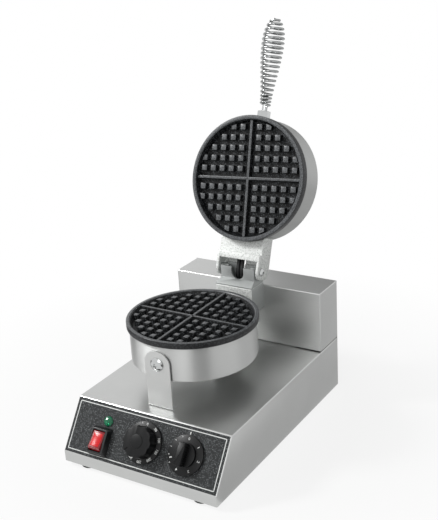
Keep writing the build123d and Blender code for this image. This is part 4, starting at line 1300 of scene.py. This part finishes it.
@dataclass
class SpringHandle:
    """Sprung wire grip on a hexagonal nut, measured from the face of the nut.

    The wire starts with tight turns, opens, and ends with the turns of the tip. Its foot rises
    from the nut and bends into the first turn.
    """

    nut_across: float = 17 * MM
    nut_length: float = 11 * MM
    nut_sunk: float = 0.7 * MM
    nut_edge: float = 1 * MM
    stud_radius: float = 4 * MM
    stud_length: float = 24 * MM
    stud_sunk: float = 1 * MM
    stud_edge: float = 0.8 * MM
    wire: float = 1.85 * MM
    base_radius: float = 6.5 * MM
    belly_radius: float = 15.5 * MM
    tip_radius: float = 5.6 * MM
    length: float = 138 * MM
    belly_at: float = 0.74
    run_out: float = 9 * MM
    foot_back: float = 4.45 * MM
    foot_in: float = 1.9 * MM
    foot_steps: int = 8
    foot_rise: float = 4 * MM
    foot_pull: float = 5 * MM
    tight_turns: float = 3.0
    tight_pitch: float = 5.2 * MM
    open_turns: float = 15.0
    tip_turns: float = 1.5
    tip_pitch: float = 5.4 * MM
    points_per_turn: int = 24
    face_y: float = 55.0 * MM
    axis_z: float = 218.3 * MM

    def build(self) -> None:
        """Builds the nut, its stud and the coil, and sets them on the lid."""
        seat = on_lid(place(0, self.face_y, self.axis_z) @ turned("X", 90))
        corner = self.nut_across / math.sqrt(3)
        nut = Piece.cylinder("handle_nut", corner, -self.nut_length - self.nut_sunk, 0, 6)
        nut.edges(level(0)).bevel(self.nut_edge, 2)
        stud = Piece.cylinder("stud", self.stud_radius, -self.stud_sunk, self.stud_length, 32)
        stud.edges(level(self.stud_length)).bevel(self.stud_edge, 2)
        nut.joined(stud)
        nut.seated(seat).dressed(CHROMED_STEEL, Body.LID, "polished_steel", "handle")
        coil = Piece.tube("handle_coil", self.line(), self.wire)
        coil.seated(seat).dressed(SPRING_WIRE_PAINTED_SHADE, Body.LID, "polished_steel", "handle", angle=60)

    def reach(self, turn: float) -> float:
        """Distance along the handle from the first turn, at a number of turns.

        Args:
            turn: The number of turns.

        Returns:
            The distance.
        """
        whole = self.length - self.run_out
        tight = self.tight_pitch * self.tight_turns
        pitch = (whole - tight - self.tip_pitch * self.tip_turns) / self.open_turns
        if turn <= self.tight_turns:
            return self.tight_pitch * turn
        if turn <= self.tight_turns + self.open_turns:
            return tight + pitch * (turn - self.tight_turns)
        return whole - self.tip_pitch * (self.tight_turns + self.open_turns + self.tip_turns - turn)

    def coil_radius(self, reach: float) -> float:
        """Radius of the wire's middle: a long swell, then a short round tip.

        Args:
            reach: Distance along the handle from the first turn.

        Returns:
            The radius.
        """
        share = (reach + self.run_out) / self.length
        if share < self.belly_at:
            swell = math.sin(math.pi / 2 * share / self.belly_at) ** 2
            return self.base_radius + (self.belly_radius - self.base_radius) * swell
        fall = (share - self.belly_at) / (1 - self.belly_at)
        return max(self.tip_radius, self.belly_radius * math.sqrt(max(0.0, 1 - fall * fall)))

    def point(self, turn: float) -> Vector:
        """Middle of the wire at a number of turns.

        Args:
            turn: The number of turns.

        Returns:
            The point.
        """
        reach = self.reach(turn)
        radius, angle = self.coil_radius(reach), math.tau * turn
        return Vector((radius * math.cos(angle), radius * math.sin(angle), self.run_out + reach))

    def line(self) -> list[Vector]:
        """The wire's whole line, from its foot on the nut to its end.

        Returns:
            Points along the wire.
        """
        first, next_point = self.point(0), self.point(1 / self.points_per_turn)
        foot = Vector((first.x - self.foot_in, -self.foot_back, 0))
        top = foot + Vector((0, 0, 2 * self.wire))
        rise = Vector((0, 0, self.foot_rise))
        pull = (next_point - first).normalized() * self.foot_pull
        line = [foot]
        # The foot bends into the first turn along a cubic curve.
        for i in range(self.foot_steps):
            t = i / self.foot_steps
            bend = top * (1 - t) ** 3 + (top + rise) * 3 * t * (1 - t) ** 2
            line.append(bend + (first - pull) * 3 * t * t * (1 - t) + first * t**3)
        turns = self.tight_turns + self.open_turns + self.tip_turns
        count = round(turns * self.points_per_turn)
        return line + [self.point(turns * i / count) for i in range(count + 1)]


# Controls on the sloped panel


@dataclass
class Panel:
    """The sloped panel that the controls stand on."""

    lip_top: float
    run: float
    rise: float
    film: float = 0.4 * MM

    def seat(self, x: float, up: float, height: float = 0.0, turn: float = 0.0) -> Matrix:
        """A place across the panel and up its slope, with Z out of the panel and Y up the slope.

        Args:
            x: Distance from the middle, to the right.
            up: Distance up the slope from the lip.
            height: Height above the panel.
            turn: Turn about Z in degrees.

        Returns:
            The place.
        """
        tilt = math.degrees(math.atan2(self.rise, self.run))
        origin = place(x, 0, self.lip_top) @ turned("X", tilt)
        return origin @ Matrix.Translation((0, up, height)) @ turned("Z", turn)


@dataclass
class Print:
    """White lines and marks printed on the film."""

    panel: Panel
    half_width: float = 119.7 * MM
    low: float = 5.4 * MM
    high: float = 74.1 * MM
    line: float = 1.2 * MM
    corner: float = 1.5 * MM
    ink: float = 0.06 * MM
    mark_x: float = 65.1 * MM
    mark_up: float = 69 * MM
    mark_width: float = 1.6 * MM
    mark_length: float = 3.8 * MM
    mark_corner: float = 0.2 * MM

    def build(self) -> None:
        """Builds the border and the timer's index mark."""
        half, top = self.half_width, self.high - self.low
        border = Piece.box("printed_border", (-half, 0, -self.ink), (half, top, self.ink))
        border.edges(upright).bevel(self.corner, 3)
        border.faces(upright).inset(self.line).bridged()
        seat = self.panel.seat(0, self.low, self.panel.film)
        border.seated(seat).dressed(WHITE_INK, Body.BASE, "overlay_film")
        half, reach = self.mark_width / 2, self.mark_length / 2
        mark = Piece.box("printed_index", (-half, -reach, -self.ink), (half, reach, self.ink))
        mark.edges(upright).bevel(self.mark_corner, 1)
        mark.seated(self.panel.seat(self.mark_x, self.mark_up, self.panel.film))
        mark.dressed(WHITE_INK, Body.BASE, "overlay_film")


@dataclass
class RockerSwitch:
    """Tapered black case with a red rocker between its cheeks.

    The key's flats meet in a crease above the pivot, and its tilt is in degrees.
    """

    panel: Panel
    x: float = -70 * MM
    up: float = 26 * MM
    width: float = 32 * MM
    length: float = 40 * MM
    height: float = 9 * MM
    draft: float = math.tan(math.radians(18.4))
    corner: float = 2.4 * MM
    top_edge: float = 0.8 * MM
    well_floor: float = 0.6 * MM
    key_width: float = 19.4 * MM
    key_radius: float = 14.2 * MM
    key_rise: float = 8 * MM
    key_drop: float = 2 * MM
    key_edge: float = 0.9 * MM
    crease: float = 0.8 * MM
    pivot: float = 3 * MM
    tilt: float = 10.5
    gap: float = 0.4 * MM
    lens_side: float = 2.6 * MM
    lens_end: float = 2.4 * MM
    lens_sunk: float = 2 * MM
    lens_proud: float = 0.25 * MM
    lens_corner: float = 1.6 * MM
    lens_edge: float = 0.3 * MM
    sign_size: float = 4.0 * MM
    sign_ink: float = 0.1 * MM
    sign_y: float = 6.6 * MM
    sign_turn: float = 4.0

    def build(self) -> None:
        """Builds the case, the key and its lens, and the two signs."""
        self.case()
        self.key()

    def case(self) -> None:
        """Case with drafted sides and a well for the key."""
        half, long_half = self.width / 2, self.length / 2
        case = Piece.box("switch_case", (-half, -long_half, 0), (half, long_half, self.height))
        shrink = self.height * self.draft
        case.faces(facing(z=1)).scale(1 - shrink / half, 1 - shrink / long_half)
        case.edges(lambda at, way: MM < at.z < self.height - MM).bevel(self.corner, 4)
        case.edges(level(self.height)).bevel(self.top_edge, 3)
        well, well_long = self.key_width / 2 + self.gap, self.key_radius + self.gap
        low, high = (-well, -well_long, self.well_floor), (well, well_long, 2 * self.height)
        case.less(Piece.box("well", low, high))
        seat = self.panel.seat(self.x, self.up, self.panel.film)
        case.seated(seat).dressed(BLACK_NYLON, Body.BASE, "black_plastic", "rocker_case")

    def key(self) -> None:
        """Key cut from a bar about its pivot, with a lens set into its face and a sign at each end."""
        half, radius, rise = self.key_width / 2, self.key_radius, self.key_rise
        key = Piece.cylinder("rocker_frame", radius, -half, half, 96).seated(turned("Y", 90))
        key.cut((0, 0, rise), (0, 0, 1))
        key.cut((0, 0, -self.key_drop), (0, 0, -1))
        self.creased(key, rise)
        key.edges(above(0), 30).bevel(self.key_edge, 3)
        seat = self.panel.seat(self.x, self.up, self.pivot) @ turned("X", -self.tilt)
        key.seated(seat).dressed(RED_FRAME, Body.ROCKER, "red_plastic", "rocker")
        reach, face = math.sqrt(radius**2 - rise**2), rise + self.lens_proud
        side, end = half - self.lens_side, reach - self.lens_end
        lens = Piece.box("rocker_lens", (-side, -end, rise - self.lens_sunk), (side, end, face))
        self.creased(lens, face)
        lens.edges(lambda at, way: abs(way.z) > 0.9 and abs(at.y) > MM).bevel(self.lens_corner, 4)
        lens.edges(above(rise - MM), 30).bevel(self.lens_edge, 2)
        lens.seated(seat).dressed(RED_LENS, Body.ROCKER, "red_plastic")
        for sign, y in (("O", self.sign_y), ("I", -self.sign_y)):
            where = Matrix.Translation((0, y, face - self.crease * (1 - abs(y) / reach)))
            mark = Piece.lettering("switch_sign_" + sign, sign, self.sign_size, self.sign_ink)
            mark.seated(seat @ where @ turned("X", math.copysign(self.sign_turn, y)))
            mark.dressed(WHITE_INK, Body.ROCKER, "red_plastic")

    def creased(self, piece: Piece, face: float) -> None:
        """Splits a face across its middle and sinks the crease.

        Args:
            piece: The key or its lens.
            face: The height of its face.
        """
        piece.split((0, 0, 0), (0, 1, 0))
        near = 0.1 * MM
        piece.edges(lambda at, way: at.z > face - near and abs(at.y) < near).move(z=-self.crease)


@dataclass
class Lamp:
    """Green indicator with a faceted dome.

    Each tier of the dome is its size against the base's, and its share of the height.
    """

    panel: Panel
    x: float = -65.2 * MM
    up: float = 55.2 * MM
    radius: float = 7.5 * MM
    height: float = 4.6 * MM
    sunk: float = 3 * MM
    base_share: float = 0.2
    tiers: tuple[tuple[float, float], ...] = ((0.86, 0.35), (0.55, 0.30), (0.20, 0.13))
    sides: int = 8

    def build(self) -> None:
        """Builds the lens tier by tier."""
        low, high = -self.sunk, self.base_share * self.height
        lens = Piece.cylinder("lamp_lens_facets", self.radius, low, high, self.sides)
        last = 1.0
        for size, rise in self.tiers:
            lens.faces(facing(z=1)).extrude(z=rise * self.height).scale(size / last, size / last)
            last = size
        seat = self.panel.seat(self.x, self.up, self.panel.film)
        lens.seated(seat).dressed(GREEN_LENS, Body.BASE, "green_plastic", "lamp_lens", angle=5)


@dataclass
class Knob:
    """What both knobs share: a dial skirt with printed numbers and ticks.

    Each label is its words and its angle in degrees, counted from the right round to the left,
    and each tick is an angle.
    """

    panel: Panel
    name: str
    body: Body
    x: float
    up: float
    skirt_radius: float
    text_radius: float
    text_size: float
    labels: tuple[tuple[str, float], ...]
    ticks: tuple[float, ...]
    lift: float = 1.2 * MM
    skirt: float = 2 * MM
    skirt_edge: float = 0.5 * MM
    ink: float = 0.05 * MM
    tick_in: float = 2.2 * MM
    tick_width: float = 0.8 * MM
    tick_length: float = 2.0 * MM
    tick_corner: float = 0.15 * MM

    def seat(self, height: float = 0.0, turn: float = 0.0) -> Matrix:
        """A place on the knob's own axis, above its skirt's underside."""
        return self.panel.seat(self.x, self.up, self.panel.film + self.lift + height, turn)

    def skirt_disc(self) -> Piece:
        """The dial skirt with a rounded edge.

        Returns:
            The skirt.
        """
        disc = Piece.cylinder(self.name + "_knob_body", self.skirt_radius, 0, self.skirt, 96)
        disc.edges(lambda at, way: abs(way.z) < 0.5).bevel(self.skirt_edge, 2)
        return disc

    def dial(self) -> None:
        """Numbers and ticks on the skirt."""
        pieces = []
        move = Matrix.Translation((0, self.text_radius, self.skirt))
        for words, angle in self.labels:
            text = Piece.lettering("number", words, self.text_size, self.ink)
            pieces.append(text.seated(turned("Z", angle - 90) @ move))
        half, reach = self.tick_width / 2, self.tick_length / 2
        move = Matrix.Translation((0, self.skirt_radius - self.tick_in, self.skirt))
        for angle in self.ticks:
            tick = Piece.box("tick", (-half, -reach, -self.ink), (half, reach, self.ink))
            tick.edges(upright).bevel(self.tick_corner, 1)
            pieces.append(tick.seated(turned("Z", angle - 90) @ move))
        marks = pieces[0].joined(*pieces[1:])
        marks.obj.name = self.name + "_dial_marks"
        marks.seated(self.seat()).dressed(WHITE_INK, self.body, "black_plastic")


@dataclass
class ThermostatKnob(Knob):
    """Scalloped knob with a raised middle and a pointer slot, whose angle is in degrees."""

    hub_radius: float = 21.8 * MM
    height: float = 18.4 * MM
    scallops: int = 10
    scallop_radius: float = 8.5 * MM
    scallop_depth: float = 1.5 * MM
    edge: float = 0.7 * MM
    cap_radius: float = 9.5 * MM
    cap_rise: float = 0.8 * MM
    cap_edge: float = 0.5 * MM
    slot_length: float = 7 * MM
    slot_width: float = 1.6 * MM
    slot_angle: float = 225.0

    def build(self) -> None:
        """Builds the knob and its dial."""
        hub = Piece.cylinder("hub", self.hub_radius, 0, self.height, 96)
        cutter = Piece.cylinder("scallops", self.scallop_radius, self.skirt, 2 * self.height, 48)
        out = Matrix.Translation((self.hub_radius + self.scallop_radius - self.scallop_depth, 0, 0))
        angles = [360 / self.scallops * (i + 0.5) for i in range(self.scallops)]
        hub.less(cutter.copied(turned("Z", angle) @ out for angle in angles))
        hub.edges(above(self.skirt + MM), 30).bevel(self.edge, 3)
        low, high = self.height - MM, self.height + self.cap_rise
        cap = Piece.cylinder("cap", self.cap_radius, low, high)
        cap.edges(level(high)).bevel(self.cap_edge, 3)
        start, half = self.hub_radius - self.slot_length, self.slot_width / 2
        slot = Piece.box("slot", (start, -half, low), (self.hub_radius, half, self.height + MM))
        hub.less(slot.seated(turned("Z", self.slot_angle)))
        body = self.skirt_disc().joined(hub, cap)
        body.seated(self.seat()).dressed(PHENOLIC, self.body, "black_plastic", "thermostat_knob")
        self.dial()


@dataclass
class TimerKnob(Knob):
    """Disc with a straight bar grip that is ribbed along its sides."""

    disc_radius: float = 16.5 * MM
    disc_height: float = 6.4 * MM
    grip_width: float = 10.5 * MM
    grip_height: float = 17.9 * MM
    grip_inset: float = 0.8 * MM
    grip_edge: float = 0.9 * MM
    disc_edge: float = 0.8 * MM
    ribs: int = 9
    rib_radius: float = 0.8 * MM
    rib_top: float = 15.4 * MM
    rib_edge: float = 0.3 * MM
    rib_end: float = 4 * MM

    def build(self) -> None:
        """Builds the knob and its dial."""
        disc = Piece.cylinder("disc", self.disc_radius, 0, self.disc_height, 96)
        disc.edges(level(self.disc_height)).bevel(self.disc_edge, 3)
        half, reach = self.grip_width / 2, self.disc_radius - self.grip_inset
        grip = Piece.cylinder("grip", reach, self.disc_height - MM, self.grip_height, 96)
        for side in (-1, 1):
            grip.cut((side * half, 0, 0), (side, 0, 0))
        grip.edges(above(self.disc_height), 30).bevel(self.grip_edge, 3)
        rib = Piece.cylinder("ribs", self.rib_radius, self.disc_height, self.rib_top, 12)
        rib.edges(level(self.rib_top)).bevel(self.rib_edge, 1)
        gaps = self.ribs - 1
        step = 2 * (reach - self.rib_end) / gaps
        ys = [step * (i - gaps / 2) for i in range(self.ribs)]
        ribs = rib.copied(Matrix.Translation((side * half, y, 0)) for side in (-1, 1) for y in ys)
        body = self.skirt_disc().joined(disc, grip, ribs)
        body.seated(self.seat()).dressed(PHENOLIC, self.body, "black_plastic", "timer_knob")
        self.dial()


# Studio


@dataclass
class Studio:
    """Plain pale floor, soft light from the left and the front, and the camera.

    Cards and mats stand for what the steel mirrors, and only reflections see them. Angles are
    in degrees, and those of cards and mats go from the front round to the right.
    """

    camera_at: tuple[float, float, float] = (0.699383, -1.078593, 0.735433)
    azimuth: float = 32.548
    elevation: float = 20.809
    roll: float = -3.487
    focal_pixels: float = 963.137
    image_height: int = 520
    sensor: float = 36.0
    sky: float = 0.94
    fill: float = 0.26
    floor_size: float = 60.0
    floor_drop: float = 0.5 * MM
    fade: tuple[float, float] = (0.20, 0.60)
    fade_from: float = 0.84
    aim: tuple[float, float, float] = (0, 0, 0.22)
    card_distance: float = 1.6
    card_height: float = 2.4
    mat_end: float = 2.0

    def build(self) -> None:
        """Sets up everything that isn't the waffle maker."""
        bpy.context.scene.view_settings.view_transform = "Standard"
        self.camera()
        self.world()
        self.floor()
        self.lamp("key_softbox", (-2.1, -1.15, 2.1), size=0.55, power=58.0)
        self.lamp("front_softbox", (0.5, -2.6, 1.6), size=1.2, power=12.0)
        self.mat("near_mat", angle=38, spread=26, near=0.3, level=0.05)
        self.mat("side_mat", angle=140, spread=76, near=0.3, level=0.60)
        strip = Piece.box("side_strip", (0.13, -0.2, 0), (0.27, 0.35, 0.3 * MM))
        self.reflected(strip, level=0.56)
        self.mat("left_mat", angle=-85, spread=24, near=0.36, level=0.05)
        self.card("rear_card", angle=189, width=1.14, level=0.36)

    def camera(self) -> None:
        """Camera at the photograph's place, angle and focal length."""
        azimuth, elevation, roll = map(math.radians, (self.azimuth, self.elevation, self.roll))
        flat = math.cos(elevation)
        back = Vector((math.sin(azimuth) * flat, -math.cos(azimuth) * flat, math.sin(elevation)))
        right = Vector((0, 0, 1)).cross(back).normalized()
        up = back.cross(right)
        tilted_right = right * math.cos(roll) + up * math.sin(roll)
        tilted_up = up * math.cos(roll) - right * math.sin(roll)
        data = bpy.data.cameras.new("camera")
        data.sensor_width = self.sensor
        data.lens = self.focal_pixels * self.sensor / self.image_height
        data.clip_start, data.clip_end = 0.05, 100
        camera = linked("camera", data)
        axes = Matrix([tilted_right, tilted_up, back]).transposed()
        camera.matrix_world = Matrix.Translation(self.camera_at) @ axes.to_4x4()
        bpy.context.scene.camera = camera

    def seen(self, tree: Tree) -> Socket:
        """One where the camera, a reflection or clear plastic looks, and zero for lighting.

        Args:
            tree: The material's or the world's node tree.

        Returns:
            The value.
        """
        path = add(tree, "LightPath").outputs
        direct = {0: path["Is Camera Ray"], 1: path["Is Glossy Ray"]}
        first = add(tree, "Math", direct, operation="MAXIMUM")
        both = {0: first.outputs[0], 1: path["Is Transmission Ray"]}
        return add(tree, "Math", both, operation="MAXIMUM").outputs[0]

    def world(self) -> None:
        """White surroundings, a little greyer in reflections, and a soft grey fill to light by."""
        world = bpy.data.worlds.new("studio")
        bpy.context.scene.world = world
        tree = emptied(world)
        fill = add(tree, "Background", {"Color": WHITE, "Strength": self.fill})
        camera = add(tree, "LightPath").outputs["Is Camera Ray"]
        brightness = add(tree, "MapRange", {0: camera, 3: self.sky, 4: 1.0})
        white = add(tree, "Background", {"Color": WHITE, "Strength": brightness.outputs[0]})
        mixed = add(tree, "MixShader", {0: self.seen(tree), 1: fill.outputs[0], 2: white.outputs[0]})
        add(tree, "OutputWorld", {"Surface": mixed.outputs[0]})

    def floor(self) -> None:
        """Wide pale floor that fades to plain white and keeps the shadow close by."""
        Piece.clear()
        bpy.ops.mesh.primitive_plane_add(size=self.floor_size, location=(0, 0, -self.floor_drop))
        floor = bpy.context.object
        floor.name = "studio_floor"
        made = bpy.data.materials.new("pale_studio_floor")
        tree = emptied(made)
        where = add(tree, "TexCoord").outputs["Object"]
        away = add(tree, "VectorMath", {0: where}, operation="LENGTH").outputs["Value"]
        start, end = self.fade
        near = add(tree, "MapRange", {0: away, 1: start, 2: end, 3: self.fade_from, 4: 1.0})
        share = add(tree, "Math", {0: near.outputs[0], 1: self.seen(tree)}, operation="MULTIPLY")
        pale = add(tree, "BsdfDiffuse", {"Color": linear("#f4f5f4")})
        white = add(tree, "Emission", {"Color": WHITE, "Strength": 1.0})
        mixed = add(tree, "MixShader", {0: share.outputs[0], 1: pale.outputs[0], 2: white.outputs[0]})
        add(tree, "OutputMaterial", {"Surface": mixed.outputs[0]})
        floor.data.materials.append(made)

    def lamp(self, name: str, where: Place, size: float, power: float) -> None:
        """A square soft box that faces the waffle maker.

        Args:
            name: The lamp's name.
            where: Its place.
            size: The length of its sides.
            power: Its power in watts.
        """
        light = bpy.data.lights.new(name, "AREA")
        light.energy = power
        light.size = size
        lamp = linked(name, light)
        lamp.location = where
        lamp.rotation_euler = (Vector(self.aim) - Vector(where)).to_track_quat("-Z", "Y").to_euler()

    def card(self, name: str, angle: float, width: float, level: float) -> None:
        """An upright card that faces the waffle maker.

        Args:
            name: The piece's name.
            angle: Its direction in degrees.
            width: Its width.
            level: Its brightness.
        """
        front, back = 10 * MM - self.card_distance, -self.card_distance
        card = Piece.box(name, (-width / 2, back, 0), (width / 2, front, self.card_height))
        self.reflected(card.seated(turned("Z", angle)), level)

    def mat(self, name: str, angle: float, spread: float, near: float, level: float) -> None:
        """A wedge on the floor that widens away from the waffle maker.

        Args:
            name: The piece's name.
            angle: The direction of its middle in degrees.
            spread: How many degrees it spans.
            near: Distance of its near end.
            level: Its brightness.
        """
        half = self.mat_end * math.tan(math.radians(spread / 2))
        mat = Piece.box(name, (-half, -self.mat_end, 0), (half, -near, 0.4 * MM))
        mat.faces(facing(y=1)).scale(near / self.mat_end, 1)
        self.reflected(mat.seated(turned("Z", angle)), level)

    def reflected(self, piece: Piece, level: float) -> None:
        """Gives a studio piece its brightness and lets only reflections see it.

        Args:
            piece: The card or the mat.
            level: Its brightness.
        """
        card = piece.obj
        made = bpy.data.materials.new("reflected_" + card.name)
        tree = emptied(made)
        glow = add(tree, "Emission", {"Color": WHITE, "Strength": level})
        add(tree, "OutputMaterial", {"Surface": glow.outputs[0]})
        card.data.materials.append(made)
        card.visible_camera = card.visible_diffuse = False
        card.visible_shadow = card.visible_transmission = False


def main() -> None:
    """Builds the waffle maker piece by piece, and then the studio round it."""
    dress_cad_nodes()
    housing = Housing()
    housing.build()
    pan_y, pan_top, pan_foot = 158.2 * MM, 187.4 * MM, 127.8 * MM
    lid_face, lid_back = 187.9 * MM, 244.6 * MM
    face_down = turned("X", 180)
    CookingPlate(
        "lower_waffle_plate", "lower_plate", Body.BASE, band=9 * MM, spigot_radius=88.6 * MM,
        crest=1.6 * MM, stud_top=7.4 * MM,
    ).build(place(0, pan_y, pan_top))
    CookingPlate(
        "upper_waffle_plate", "upper_plate", Body.LID, band=14 * MM, spigot_radius=90.8 * MM,
        crest=5.0 * MM, stud_top=8.2 * MM, turn=3.5,
    ).build(on_lid(place(0, pan_y, lid_face) @ face_down))
    Drum(
        "pan_drum", "lower_drum", Body.BASE, radius=90 * MM, height=50.6 * MM, corner=3 * MM,
        finish=SPUN_DRUM,
    ).build(place(0, pan_y, pan_foot))
    Drum(
        "lid_drum", "upper_drum", Body.LID, radius=92.2 * MM, height=42.7 * MM, corner=5 * MM,
        finish=SPUN_LID_PAINTED_SHADE,
    ).build(on_lid(place(0, pan_y, lid_back) @ face_down))
    Bracket(pan_y, housing.top).build()
    HingeCastings().build()
    SleevedLeads().build()
    SpringHandle().build()
    panel = Panel(housing.lip_top, housing.panel_run, housing.top - housing.lip_top)
    Print(panel).build()
    RockerSwitch(panel).build()
    Lamp(panel).build()
    ThermostatKnob(
        panel, "thermostat", Body.THERMOSTAT, x=-1 * MM, up=40.3 * MM, skirt_radius=28.8 * MM,
        text_radius=25.2 * MM, text_size=4.8 * MM, ticks=(108.0,),
        labels=tuple((str(50 * i), 90.0 - 35 * i) for i in range(7)),
    ).build()
    TimerKnob(
        panel, "timer", Body.TIMER, x=67 * MM, up=40 * MM, skirt_radius=26.8 * MM,
        text_radius=21.6 * MM, text_size=5.0 * MM, ticks=tuple(115.0 + 25 * i for i in range(5)),
        labels=tuple((str(i), 90.0 - 50 * i) for i in range(6)),
    ).build()
    Studio().build()
    Piece.clear()


if __name__ == "__main__":
    main()
